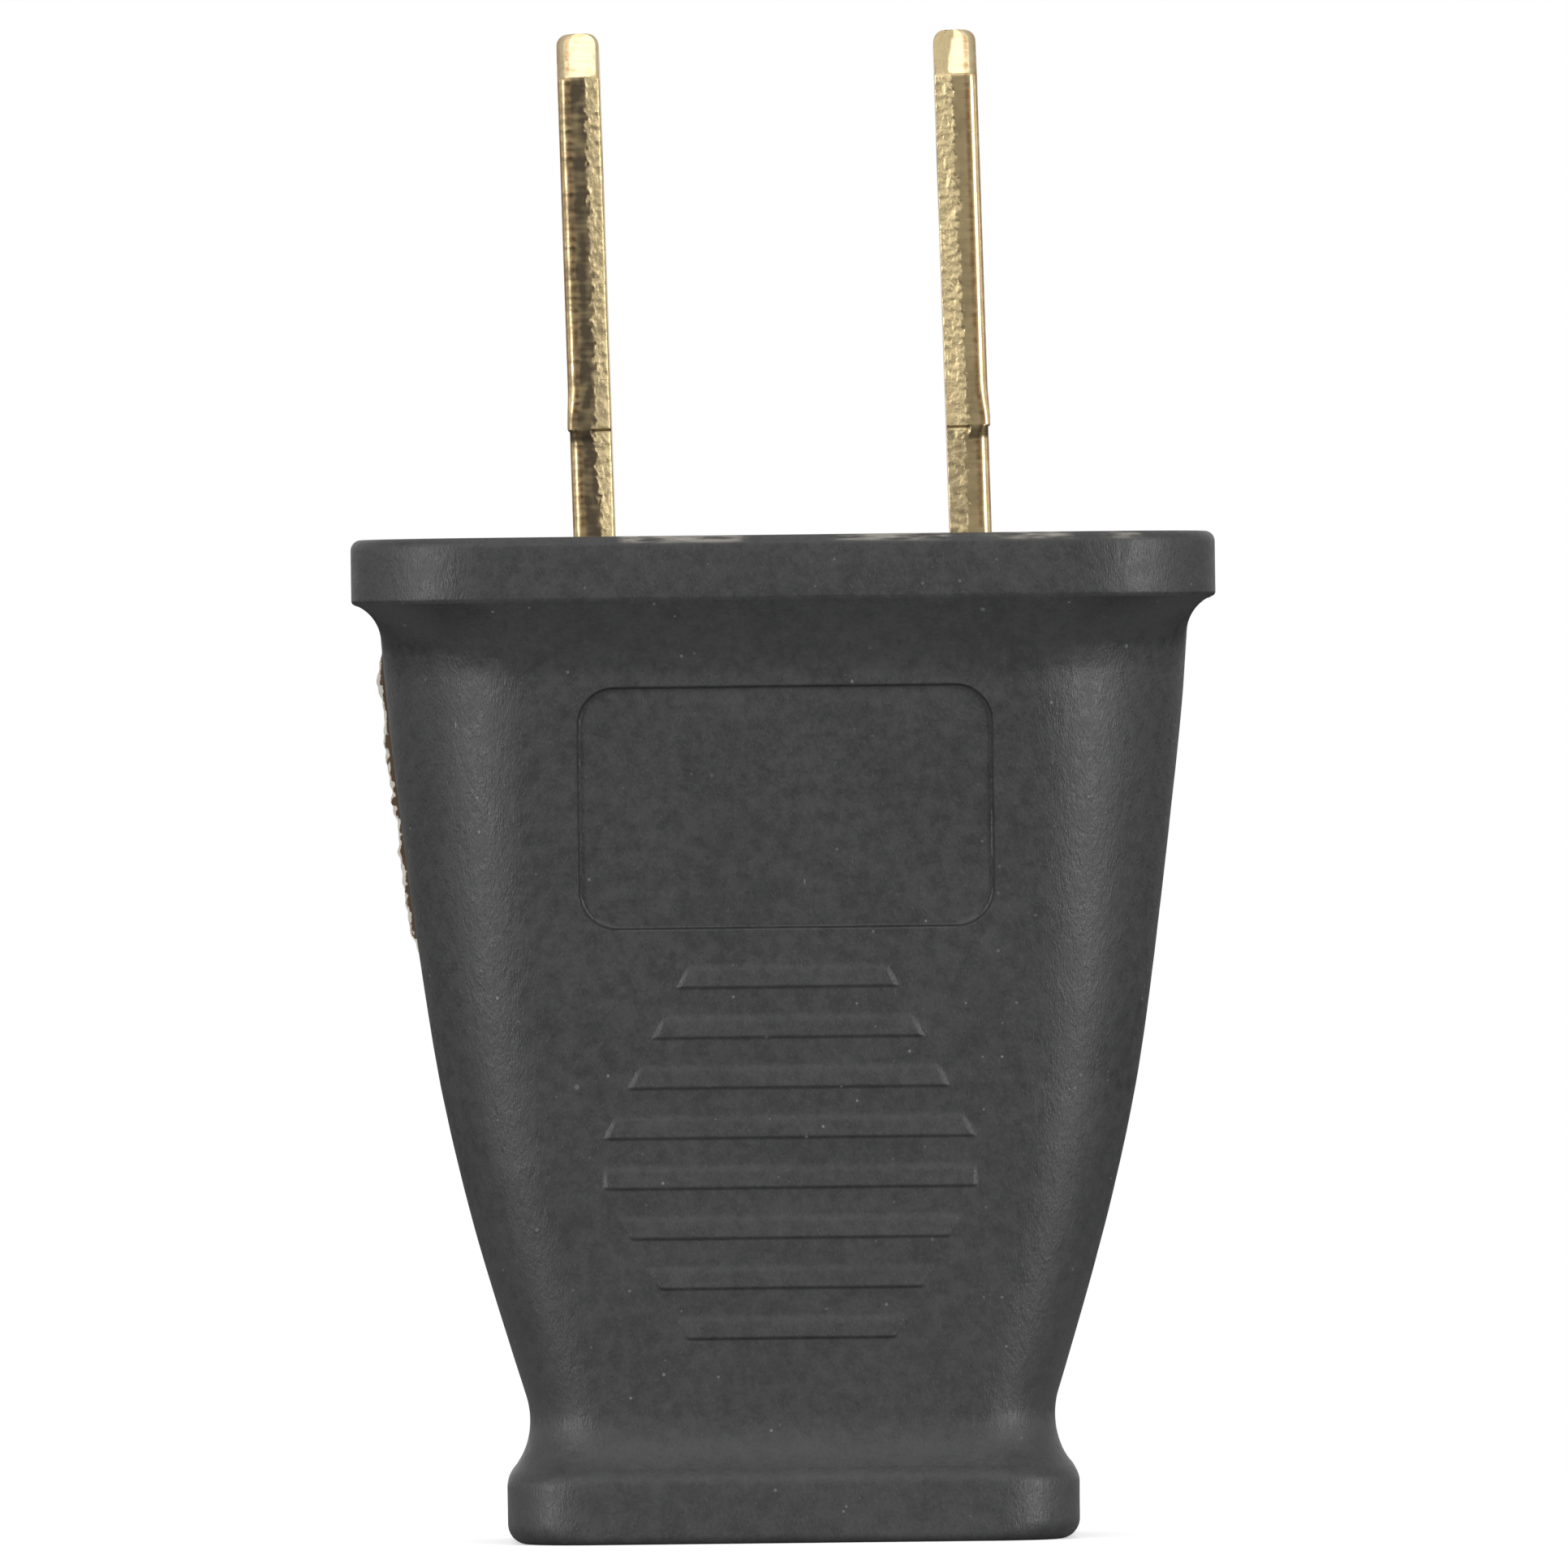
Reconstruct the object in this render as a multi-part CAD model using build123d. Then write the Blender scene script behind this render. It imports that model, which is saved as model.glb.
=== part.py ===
from build123d import *
import os
from math import asin, atan2, cos, hypot, pi, radians, sin, sqrt, tan

# Two-blade mains plug with a moulded vinyl housing, in millimetres.
# X runs across the two blades, Y through the thickness of the plug, with the front at -Y.
# Z runs up along the blades. The origin is the centre of the flat cord end.

# Outside of the housing
body_height = 33.8          # cord end to the face that meets the outlet
flange_width = 29.05
flange_depth = 16.4
flange_thickness = 2.2
flange_corner = 4.4
flange_edge = 0.35          # rounding of the rim of the face
flange_reach_side = 0.89    # how far the flange stands out from the body at its narrow sides
flange_reach_front = 1.2    # and at its broad sides
flange_cove = 0.85          # hollow under the flange
shoulder_corner = 5.8       # of the body just under the flange
waist_width = 17.66         # narrowest place, above the cord end
waist_depth = 11.0
waist_height = 4.16
waist_cove = 2.8            # radius of the hollow between body and cord end
waist_flare_deg = 17.3      # lean of the sides where they leave that hollow
side_sway = 0.12            # how far the sides bow out low down and in higher up, off one arc
collar_lip = 0.03           # how far the cord end stands out where the hollow meets it
collar_corner = 2.6
corner_growth = 1.5         # how the corners grow up the body: 1 is evenly, more is later
collar_height = 2.24
collar_edge = 0.7           # rounding of the rim of the cord end

# Marks on the two broad sides
panel_width = 13.97
panel_height = 8.15
panel_corner = 1.3
panel_drop = 2.82           # from the flange down to its upper edge
panel_recess = 0.20
panel_slope = 0.16          # how far its walls lean in
ridge_base = 2.64           # from the waist up to the lower edge of the lowest ridge
ridge_margin = 1.15         # at least this much is bare between the panel and the top ridge
ridge_pitch = 1.683
ridge_height = 0.9
ridge_step = 0.18           # at the lower edge
ridge_rise = 0.04           # at the upper edge
ridge_slope = 0.10          # how far its ends and edges lean in
ridge_field_half = 6.33     # half width of the widest ridges
ridge_field_taper = 0.5     # how fast the field narrows up and down
ridge_field_straight = 0.85

# Blades: brass strip stamped to shape, with the rolled-over side of the cut facing outwards
blade_spacing = 12.7
blade_length = 17.0
blade_width = 6.35
blade_thickness = 1.42
blade_lean_deg = 1.3        # both blades lean towards -X
roll_over = 0.34            # rounding of the two outer edges
tip_cut = 1.55              # corner cut across the width
tip_round = 0.4
notch_level = 3.5           # cross notch above the face
notch_height = 0.16
notch_depth = 0.3
flare_length = 1.5          # the blade spreads outwards over this height above the notch
flare_reach = 0.05
neck_setback = 0.15         # of both edges between the notch and the tab
neck_relief = 0.02          # of the outer face there
tab_shoulder = 0.52         # how far the tab stands out on each edge
tab_length = 11.8
detent_radius = 1.6
detent_level = 11.9

# Insert that holds the blades
plate_width = 23.6
plate_depth = 11.4
plate_corner = 3.0
plate_thickness = 1.6       # part that lies in the recess of the face
plug_width = 20.4           # part that reaches into the cavity
plug_depth = 9.2
plug_corner = 2.2
plug_thickness = 1.6
snap_reach = 0.45
snap_height = 0.7
snap_width = 4.0
block_base = 1.5
wire_notch_width = 4.8
wire_notch_margin = 0.45    # block left outside the blade
fit_gap = 0.06              # between parts that slide together
cavity_gap = 0.12           # between the insert and the soft housing

# Terminal screws
screw_radius = 1.75
screw_head_radius = 3.1
screw_head_height = 1.9
screw_head_edge = 0.35
screw_reach = 4.4           # under the head
screw_point = 0.45          # chamfer of the end
screw_slot_width = 0.9
screw_slot_depth = 0.9
screw_drop = 5.2            # below the top of the tab
thread_gap = 0.02
screw_tip_gap = 0.45        # round the end of the screw in the block

# Inside of the housing
chamber_width = 16.2        # wiring space under the insert
chamber_depth = 7.6
chamber_corner = 2.4
chamber_height = 6.6
throat_height = 4.4         # from the chamber down to the cord hole
cord_hole_width = 9.2
cord_hole_depth = 5.0
cord_hole_edge = 0.5

# Levels that follow from the sizes
flange_bottom = body_height - flange_thickness
shoulder_width = flange_width - 2 * flange_reach_side
shoulder_depth = flange_depth - 2 * flange_reach_front
panel_level = flange_bottom - panel_drop - panel_height / 2
ridge_first_level = waist_height + ridge_base
ridge_room = panel_level - panel_height / 2 - ridge_margin - ridge_height - ridge_first_level
ridge_count = round(ridge_room / ridge_pitch) + 1
neck_width = blade_width - 2 * neck_setback
tab_width = blade_width + 2 * tab_shoulder
insert_depth = plate_thickness + plug_thickness
tab_top = -insert_depth - fit_gap
tab_bottom = tab_top - tab_length
block_bottom = tab_bottom - block_base
shelf_level = body_height + block_bottom
chamber_bottom = shelf_level - chamber_height
throat_bottom = chamber_bottom - throat_height
screw_level = tab_top - screw_drop
least_flat = 0.3            # of a straight side between two rounded corners
section_count = 7           # outlines in each lofted stretch of the body


def cove_offset(height):
    """How far the hollow above the cord end has moved out at a height."""
    return waist_cove - sqrt(waist_cove**2 - (height - waist_height) ** 2)


def half_width_at(height):
    """Half width of the body: the hollow, then one large arc with a slight sway up to the shoulder."""
    flare = radians(waist_flare_deg)
    joint_height = waist_height + waist_cove * sin(flare)
    joint_half = waist_width / 2 + waist_cove * (1 - cos(flare))
    if height <= joint_height:
        return waist_width / 2 + cove_offset(height)
    rise = flange_bottom - joint_height
    run = shoulder_width / 2 - joint_half
    top_lean = 2 * atan2(run, rise) - flare
    side_radius = hypot(run, rise) / (2 * sin((flare - top_lean) / 2))
    lean = asin(sin(flare) - (height - joint_height) / side_radius)
    turn = pi * (height - joint_height) / rise
    sway = side_sway * sin(2 * turn) * sin(turn)
    return joint_half + side_radius * (cos(lean) - cos(flare)) + sway


def front_lean():
    """Angle of the flat broad sides, which run tangent to the hollow."""
    across = shoulder_depth / 2 - waist_depth / 2 - waist_cove
    up = flange_bottom - waist_height
    return atan2(across, up) + asin(waist_cove / hypot(across, up))


def half_depth_at(height):
    """Half depth of the body: the hollow, then one straight slope."""
    if height <= waist_height + waist_cove * sin(front_lean()):
        return waist_depth / 2 + cove_offset(height)
    return shoulder_depth / 2 - (flange_bottom - height) * tan(front_lean())


def rounded_block(width, depth, corner, bottom, top):
    """Upright block with round corners."""
    outline = RectangleRounded(width, depth, min(corner, min(width, depth) / 2 - least_flat / 2))
    return extrude(Plane.XY.offset(bottom) * outline, top - bottom)


def body_section(height):
    """Outline of the body at a height."""
    share = (height - collar_height) / (flange_bottom - collar_height)
    half_width = half_width_at(height)
    half_depth = half_depth_at(height)
    corner = collar_corner + (shoulder_corner - collar_corner) * max(0.0, share) ** corner_growth
    corner = min(corner, half_depth - least_flat / 2, half_width - least_flat / 2)
    return Plane.XY.offset(height) * RectangleRounded(2 * half_width, 2 * half_depth, corner)


def spread(low, high, count):
    """Evenly spaced values from low to high."""
    return [low + (high - low) * i / (count - 1) for i in range(count)]


def edges_at(shape, height, half_width, half_depth):
    """Flat edges of a shape at one height and within a rectangle."""
    found = []
    for edge in shape.edges():
        box = edge.bounding_box()
        level = abs(box.min.Z - height) < 1e-3 and abs(box.max.Z - height) < 1e-3
        inside = max(abs(box.min.X), abs(box.max.X)) < half_width
        if level and inside and max(abs(box.min.Y), abs(box.max.Y)) < half_depth:
            found.append(edge)
    return found


def housing_outside():
    """Collar, hollow, body and flange in one piece."""
    joint_height = waist_height + waist_cove * sin(radians(waist_flare_deg))
    hollow = loft([body_section(h) for h in spread(collar_height, joint_height, section_count)])
    body = loft([body_section(h) for h in spread(joint_height, flange_bottom, section_count)])
    rim = 2 * (cove_offset(collar_height) + collar_lip)
    collar = rounded_block(waist_width + rim, waist_depth + rim, collar_corner, 0, collar_height)
    collar = fillet(collar.faces().sort_by(Axis.Z)[0].edges(), collar_edge)
    flange = rounded_block(flange_width, flange_depth, flange_corner, flange_bottom, body_height)
    flange = fillet(flange.faces().sort_by(Axis.Z)[-1].edges(), flange_edge)
    shell = collar + hollow + body + flange
    seam = edges_at(
        shell,
        flange_bottom,
        (shoulder_width + flange_reach_side) / 2,
        (shoulder_depth + flange_reach_front) / 2,
    )
    widest = min(flange_reach_side, flange_reach_front) - least_flat / 2
    return fillet(seam, min(flange_cove, widest))


def front_plane(height):
    """Plane of the flat front at a height, with its normal pointing out."""
    lean = front_lean()
    return Plane(
        origin=(0, -half_depth_at(height), height),
        x_dir=(1, 0, 0),
        z_dir=(0, -cos(lean), -sin(lean)),
    )


def frustum(plane, low_outline, high_outline):
    """Solid between two four-cornered outlines given as points on a plane."""
    faces = []
    for outline in (low_outline, high_outline):
        points = [plane.from_local_coords(Vector(*p)) for p in outline]
        faces.append(make_face(Polyline(*points, close=True)))
    return loft(faces, ruled=True)


def ridge_half_width(height):
    """Half width of the ridge field at a height: straight in the middle, narrowing both ways."""
    middle = ridge_first_level + ridge_pitch * (ridge_count - 1) / 2
    beyond = max(0.0, abs(height - middle) - ridge_field_straight)
    return ridge_field_half - ridge_field_taper * beyond


def ridge(level):
    """One grip ridge: it rises towards its lower edge and steps back down there."""
    low_half = ridge_half_width(level)
    high_half = ridge_half_width(level + ridge_height)
    foot = [
        (-low_half, 0, -ridge_step),
        (low_half, 0, -ridge_step),
        (high_half, ridge_height, -ridge_step),
        (-high_half, ridge_height, -ridge_step),
    ]
    crest = [
        (-low_half + ridge_slope, ridge_slope, ridge_step),
        (low_half - ridge_slope, ridge_slope, ridge_step),
        (high_half - ridge_slope, ridge_height - ridge_slope, ridge_rise),
        (-high_half + ridge_slope, ridge_height - ridge_slope, ridge_rise),
    ]
    return frustum(front_plane(level), foot, crest)


def panel_cutter():
    """Shallow bare recess with sloping walls."""
    plane = front_plane(panel_level)
    floor = RectangleRounded(
        panel_width - 2 * panel_slope, panel_height - 2 * panel_slope, panel_corner - panel_slope
    )
    lift = panel_recess + panel_slope
    reach = panel_slope * lift / panel_recess - panel_slope
    rim = RectangleRounded(panel_width + 2 * reach, panel_height + 2 * reach, panel_corner + reach)
    return loft([plane.offset(-panel_recess) * floor, plane.offset(lift - panel_recess) * rim])


def broad_side(shape):
    """The same solid on the front and on the rear."""
    return [shape, mirror(shape, about=Plane.XZ)]


def blade_place(side):
    """Where a blade stands: its own origin is at the face, on the blade's middle."""
    return Location((side * blade_spacing / 2, 0, body_height), (0, -blade_lean_deg, 0))


def blade_box(low, high):
    """Box between two corners in a blade's own frame."""
    size = [b - a for a, b in zip(low, high)]
    middle = [(a + b) / 2 for a, b in zip(low, high)]
    return Pos(*middle) * Box(*size)


def tip_corner(edge):
    """What the corner cut takes off one edge of a blade, as an outline across the blade."""
    outer = edge * blade_width / 2
    return make_face(
        Polyline(
            (outer, blade_length - tip_cut),
            (outer + edge * tip_cut, blade_length - tip_cut),
            (outer + edge * tip_cut, blade_length + tip_cut),
            (outer - 2 * edge * tip_cut, blade_length + tip_cut),
            close=True,
        )
    )


def blade_strip():
    """Part of a blade above the notch, which enters the outlet."""
    half = blade_thickness / 2
    foot = notch_level + notch_height
    side = make_face(
        Polyline(
            (-half, foot),
            (half + flare_reach, foot),
            (half, foot + flare_length),
            (half, blade_length),
            (-half, blade_length),
            close=True,
        )
    )
    strip = extrude(Plane.XZ * side, blade_width / 2, both=True)
    for edge in (-1, 1):
        strip -= extrude(Plane.YZ * tip_corner(edge), 2 * blade_thickness, both=True)
    top = strip.edges().group_by(Axis.Z)[-1].sort_by(Axis.X)
    strip = fillet([top[0], top[-1]], tip_round)
    outer = [e for e in strip.edges() if is_outer_edge(e)]
    return fillet(outer, roll_over)


def is_outer_edge(edge):
    """True for the long edges along the outer face of a blade."""
    box = edge.bounding_box()
    tall = box.max.Z - box.min.Z > flare_length / 2 and box.min.X > 0
    return tall and box.max.Y - box.min.Y < blade_thickness / 2


def blade():
    """One blade in its own frame, with its terminal tab below the face."""
    half = blade_thickness / 2
    foot = notch_level + notch_height
    neck = blade_box((-half, -neck_width / 2, tab_top), (half - neck_relief, neck_width / 2, foot))
    for edge in (-1, 1):
        low, high = sorted((edge * (neck_width / 2 - notch_depth), edge * blade_width))
        neck -= blade_box((-blade_width, low, notch_level), (blade_width, high, foot))
    tab = blade_box((-half, -tab_width / 2, tab_bottom), (half, tab_width / 2, tab_top))
    through = 4 * blade_thickness
    detent = Pos(0, 0, detent_level) * Rot(0, 90, 0) * Cylinder(detent_radius, through)
    tapped = Pos(0, 0, screw_level) * Rot(0, 90, 0) * Cylinder(screw_radius + thread_gap, through)
    return blade_strip() + neck + tab - detent - tapped


def terminal_screw():
    """Binding head screw in a blade's own frame, entering along -X."""
    seat = blade_thickness / 2
    head = Pos(seat + screw_head_height / 2, 0, screw_level) * Rot(0, 90, 0)
    head = head * Cylinder(screw_head_radius, screw_head_height)
    head = fillet(head.edges().filter_by(GeomType.CIRCLE).sort_by(Axis.X)[-1], screw_head_edge)
    shank = Pos(seat - screw_reach / 2, 0, screw_level) * Rot(0, 90, 0)
    shank = shank * Cylinder(screw_radius, screw_reach)
    shank = chamfer(shank.edges().filter_by(GeomType.CIRCLE).sort_by(Axis.X)[0], screw_point)
    top = seat + screw_head_height
    slot = blade_box(
        (top - screw_slot_depth, -screw_head_radius, screw_level - screw_slot_width / 2),
        (top + screw_slot_depth, screw_head_radius, screw_level + screw_slot_width / 2),
    )
    return head + shank - slot


def on_side(shape, side):
    """A part of the blade's frame, turned to face outwards on its own side."""
    turned = shape if side > 0 else mirror(shape, about=Plane.YZ)
    return blade_place(side) * turned


def face_plate():
    """Insulating plate round the blades, snapped into the face of the housing."""
    plug_top = body_height - plate_thickness
    plate = rounded_block(plate_width, plate_depth, plate_corner, plug_top, body_height)
    plug = rounded_block(plug_width, plug_depth, plug_corner, body_height - insert_depth, plug_top)
    shape = plate + plug
    for side in (-1, 1):
        inner = -blade_thickness / 2 - fit_gap
        outer = blade_thickness / 2 + flare_reach + fit_gap
        edge = blade_width / 2 + fit_gap
        slot = blade_box((inner, -edge, -2 * insert_depth), (outer, edge, insert_depth))
        shape += snap(side, 0)
        shape -= on_side(slot, side)
    return shape


def snap(side, gap):
    """Snap rib on the end of the plate, or the groove for it when a gap is given."""
    top = body_height - plate_thickness - plug_thickness / 2 + snap_height / 2
    return Pos(side * (plug_width / 2), 0, top - snap_height / 2) * Box(
        2 * (snap_reach + gap), snap_width + 2 * gap, snap_height + 2 * gap
    )


def terminal_block():
    """Insulating block that carries the tabs and keeps the two terminals apart."""
    bottom = body_height + block_bottom
    top = body_height - insert_depth
    shape = rounded_block(plug_width, plug_depth, plug_corner, bottom, top)
    for side in (-1, 1):
        half = blade_thickness / 2 + fit_gap
        far = plug_width
        above_base = blade_box((-half, -far, tab_bottom), (far, far, insert_depth))
        wire_way = blade_box(
            (half + wire_notch_margin, -wire_notch_width / 2, 2 * block_bottom),
            (far, wire_notch_width / 2, insert_depth),
        )
        reach = screw_reach + screw_tip_gap
        tip = Pos(half - reach / 2, 0, screw_level) * Rot(0, 90, 0)
        tip = tip * Cylinder(screw_radius + screw_tip_gap, reach)
        shape -= on_side(above_base, side)
        shape -= on_side(wire_way, side)
        shape -= on_side(tip, side)
    return shape


def housing():
    """Soft vinyl body with the grips outside and the wiring space inside."""
    shape = housing_outside()
    for level in [ridge_first_level + ridge_pitch * i for i in range(ridge_count)]:
        for rib in broad_side(ridge(level)):
            shape += rib
    for cutter in broad_side(panel_cutter()):
        shape -= cutter
    gap = cavity_gap
    recess_floor = body_height - plate_thickness
    recess = rounded_block(
        plate_width + 2 * gap, plate_depth + 2 * gap, plate_corner + gap, recess_floor, 2 * body_height
    )
    cavity = rounded_block(
        plug_width + 2 * gap, plug_depth + 2 * gap, plug_corner + gap, shelf_level, body_height
    )
    chamber = rounded_block(chamber_width, chamber_depth, chamber_corner, chamber_bottom, shelf_level)
    chamber_floor = Plane.XY.offset(chamber_bottom) * RectangleRounded(
        chamber_width, chamber_depth, chamber_corner
    )
    cord_corner = cord_hole_depth / 2 - least_flat / 2
    cord_outline = RectangleRounded(cord_hole_width, cord_hole_depth, cord_corner)
    throat = loft([Plane.XY.offset(throat_bottom) * cord_outline, chamber_floor])
    cord_hole = extrude(cord_outline, throat_bottom)
    shape -= recess + cavity + chamber + throat + cord_hole
    for side in (-1, 1):
        shape -= snap(side, gap)
    rim = edges_at(shape, 0, cord_hole_width / 2 + least_flat, cord_hole_depth / 2 + least_flat)
    return fillet(rim, cord_hole_edge)


def main():
    parts = {
        "housing": housing(),
        "face_plate": face_plate(),
        "terminal_block": terminal_block(),
        "blade_left": on_side(blade(), -1),
        "blade_right": on_side(blade(), 1),
        "terminal_screw_left": on_side(terminal_screw(), -1),
        "terminal_screw_right": on_side(terminal_screw(), 1),
    }
    os.makedirs("parts", exist_ok=True)
    for name, shape in parts.items():
        export_step(shape, f"parts/{name}.step")


main()
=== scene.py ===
"""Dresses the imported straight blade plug: vinyl housing, stamped brass blades, insert and screws."""

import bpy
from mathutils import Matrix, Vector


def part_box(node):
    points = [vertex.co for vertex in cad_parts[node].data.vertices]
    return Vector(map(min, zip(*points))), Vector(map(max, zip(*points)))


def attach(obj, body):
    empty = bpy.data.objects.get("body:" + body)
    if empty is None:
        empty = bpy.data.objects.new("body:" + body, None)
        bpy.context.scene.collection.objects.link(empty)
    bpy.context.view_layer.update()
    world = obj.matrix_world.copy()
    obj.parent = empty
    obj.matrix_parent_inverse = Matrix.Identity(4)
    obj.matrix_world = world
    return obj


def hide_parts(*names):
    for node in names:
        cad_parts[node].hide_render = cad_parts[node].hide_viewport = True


bl_info = {
    "name": "Straight blade plug",
    "version": (1, 0, 0),
    "blender": (4, 5, 0),
    "location": "View3D > Sidebar > Plug",
    "description": "Vinyl housing, stamped blades, finishes and studio of a two-blade plug",
    "category": "Object",
}

import math

import bpy
import numpy as np
from bpy.props import FloatProperty, FloatVectorProperty, IntProperty, PointerProperty
from mathutils import Vector, noise

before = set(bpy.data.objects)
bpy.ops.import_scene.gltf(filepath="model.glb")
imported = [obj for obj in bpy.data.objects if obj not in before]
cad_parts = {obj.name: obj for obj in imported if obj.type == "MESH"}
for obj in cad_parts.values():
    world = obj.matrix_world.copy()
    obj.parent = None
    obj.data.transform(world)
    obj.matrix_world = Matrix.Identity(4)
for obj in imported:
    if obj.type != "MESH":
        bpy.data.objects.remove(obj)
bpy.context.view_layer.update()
HOUSING_LOW, HOUSING_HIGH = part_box("housing")
MM = 0.001
TINY = 1e-7                 # places nearer than this are the same
QUARTERS = (0.25, 0.5, 0.75, 1.0)

# Columns of the housing's grid in a quarter of its outline
INNER_COLUMNS = 26          # from the middle of the front to the edge of a ridge or the panel
EDGE_COLUMNS = 7            # across that edge
OUTER_COLUMNS = 9           # from there to the corner
CORNER_COLUMNS = 22         # round the corner
FRONT_SHARE = 0.4           # the front's columns run on over this share of a corner
SIDE_SHARES = np.array([1.0, 0.892, 0.883, 0.6, 0.3, 0.0])
GROOVE_SHARE = 0.885        # columns nearer to the middle than this lie in the snap groove

# Rings of the housing's grid
MOUTH_RINGS = 3             # over the mouth of the recess
RIM_RINGS = 7               # over the rim of the face
UNDER_RINGS = 9             # round the lower edge of the flange
COVE_RINGS = 20             # down the hollow under the flange
BODY_PITCH = 0.45 * MM      # from ring to ring where the body is plain
LEAST_PITCH = 0.014 * MM    # a ring nearer to the last one than this is left out
PANEL_CORNER_RINGS = 8      # along a corner of the panel
WAIST_RINGS = 22            # round the hollow above the cord end
WAIST_TURNS = (-0.7, 0.55)  # where those rings start and end, in radians
BROW_RINGS = 8              # over the upper edge of the cord end
COLLAR_SHARES = (0.35, 0.7, 1.0)    # down its side
COLLAR_RINGS = 9            # round its lower rim
HOLE_RINGS = 6              # over the rim of the cord hole

# Rings packed across a leaning edge, as shares of its width
EDGE_SHARES = (0.0, 0.17, 0.33, 0.5, 0.67, 0.83, 1.0)
RIDGE_FOOT_SHARES = (-0.6, -0.2, *EDGE_SHARES, 1.25)
RIDGE_TOP_SHARES = (3.0, 2.0, 1.6, 1.2, 0.8, 0.4, 0.0, -0.4)
PANEL_RIM_SHARES = (-0.5, -0.1, *EDGE_SHARES, 1.3)

# Skin of the housing
CORNER_GROWTH = 1.5         # power by which the body's corners grow towards the flange
CORNER_ROOM = 0.15 * MM     # straight part of the narrow side that is left beside a corner
SAG_SIZE = 4.5 * MM         # size of a broad wave
WRINKLE_SIZE = 1.1 * MM     # size of a finer wave
HOLE_MARGIN = 1.6           # ring on the lower face round the cord hole, in widths of its edge
HOLE_START = 2 * MM         # level of the first ring in the cord hole
GROOVE_LEAN = 0.02 * MM     # width of the snap grooves' leaning walls

# Places along the front rim of the face where a highlight is painted pale, in millimetres from the middle
RIM_HIGHLIGHTS = ((-5.5, -1.3), (1.7, 5.6), (7.1, 9.5), (10.9, 12.0))
HIGHLIGHT_FADE = 0.5 * MM        # width over which a painted highlight runs out
HIGHLIGHT_START = 0.03           # where it is full below the face, in roundings of the rim
HIGHLIGHT_SLOPE = 2.4            # how fast it runs out further down

# Raggedness of the moulding flash
FLASH_LUMP = 1.3 * MM       # size of its broad teeth
FLASH_TOOTH = 0.34 * MM     # size of its fine teeth
FLASH_WAVE = 0.9 * MM       # size of a wave of its edge
FLASH_BEND = 0.05 * MM      # height of that wave
FLASH_LEAST = 0.06          # least share of its reach
FLASH_ENDS = (9, 7)         # how fast it grows at its low and its high end
FLASH_FILM = (0.0, 1.0, 1.0, 0.0)   # root and tip round one ring

# Columns of a blade's grid
CUT_COLUMNS = 36            # across a cut edge
ROLL_COLUMNS = 6            # round a rolled-over corner
BURR_COLUMNS = 4            # round an inner corner
FACE_COLUMNS = 24           # across a broad face
OUTER_FACE = CUT_COLUMNS + ROLL_COLUMNS     # first column of the outer broad face
INNER_FACE_END = 2 * (OUTER_FACE + FACE_COLUMNS) + BURR_COLUMNS + 1     # last one of the inner face

# Rings of a blade's grid
TAB_RINGS = 48              # up the terminal tab
SEAT_RINGS = 9              # from the tab to the face
NECK_RINGS = 54             # from the face to the notch
NOTCH_RINGS = 26            # over the notch
FLARE_RINGS = 26            # up the flare
STRIP_RINGS = 190           # from the flare to the corner cut
TIP_RINGS = 20              # up the corner cut
TIP_ROUND_RINGS = 8         # over the rounding of the tip
BELOW_FACE = 0.1 * MM       # last ring of the seat
CREASE = 0.04 * MM          # from the crease of the corner cut to the rings beside it
CREASE_INSET = 0.012 * MM   # how far the crease is softened

# Holes of the blades
HOLE_CLEAR = 1.3            # half width of the quads that a hole replaces, in radii
HOLE_SHARES = (0.4, 0.75, 1.0)      # loops from there to the hole
HOLE_EDGE_RINGS = 3         # over the hole's edge

# Cut edges of the blades. Places across an edge run from 0 at the inner side to 1 at the outer side.
TORN_FADE = 0.1             # width over which the torn part gives way to the smooth part
TORN_RUN = 0.5              # width over which the torn part falls back
CREST_WIDTH = 0.16          # width of the rougher strip along the border
SMOOTH_FADE = 0.12          # width over which the smooth part loses the notch
ROLL_START = 0.7            # where the smooth part begins to roll over
ROLL_WIDTH = 0.3            # and its width from there
BURR_WIDTH = 0.09           # width of the burr
STAIN_AND_SHADE_START = 0.84          # where the brown band, tarnish with a painted dark reflection, begins
STAIN_AND_SHADE_FADE = 0.12           # width over which it grows
STAIN_AND_SHADE_FOOT = 0.5 * MM       # height above the face at which it is full
TIP_FADE = 20               # how fast the corner cut takes over at the tip
WANDER = 0.1                # how far the border of the torn part wanders
WANDER_SIZE = 1.9 * MM      # size of one such bend
LINE_HEIGHT = 0.0014 * MM   # height of the fine lines in the smooth part
NOTCH_FADE = 0.08 * MM      # softness of the notch

# Grain of the cut edges: stretch of the place, size of a lump and number of the draw
SHEAR_GRAIN = {
    "lumps": ((0.6, 1.0, 1.4), 0.22 * MM, 3),
    "scales": ((0.8, 1.0, 1.2), 0.13 * MM, 5),
    "fray": ((1.0, 1.0, 1.0), 0.26 * MM, 7),
    "fine_fray": ((1.0, 1.0, 1.0), 0.11 * MM, 9),
    "lines": ((0.12, 1.0, 1.0), 0.14 * MM, 11),
    "blots": ((1.0, 1.0, 0.6), 0.42 * MM, 13),
    "burr": ((1.0, 1.0, 1.0), 0.3 * MM, 17),
    "ripple": ((0.3, 1.0, 1.0), 0.17 * MM, 19),
}

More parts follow.
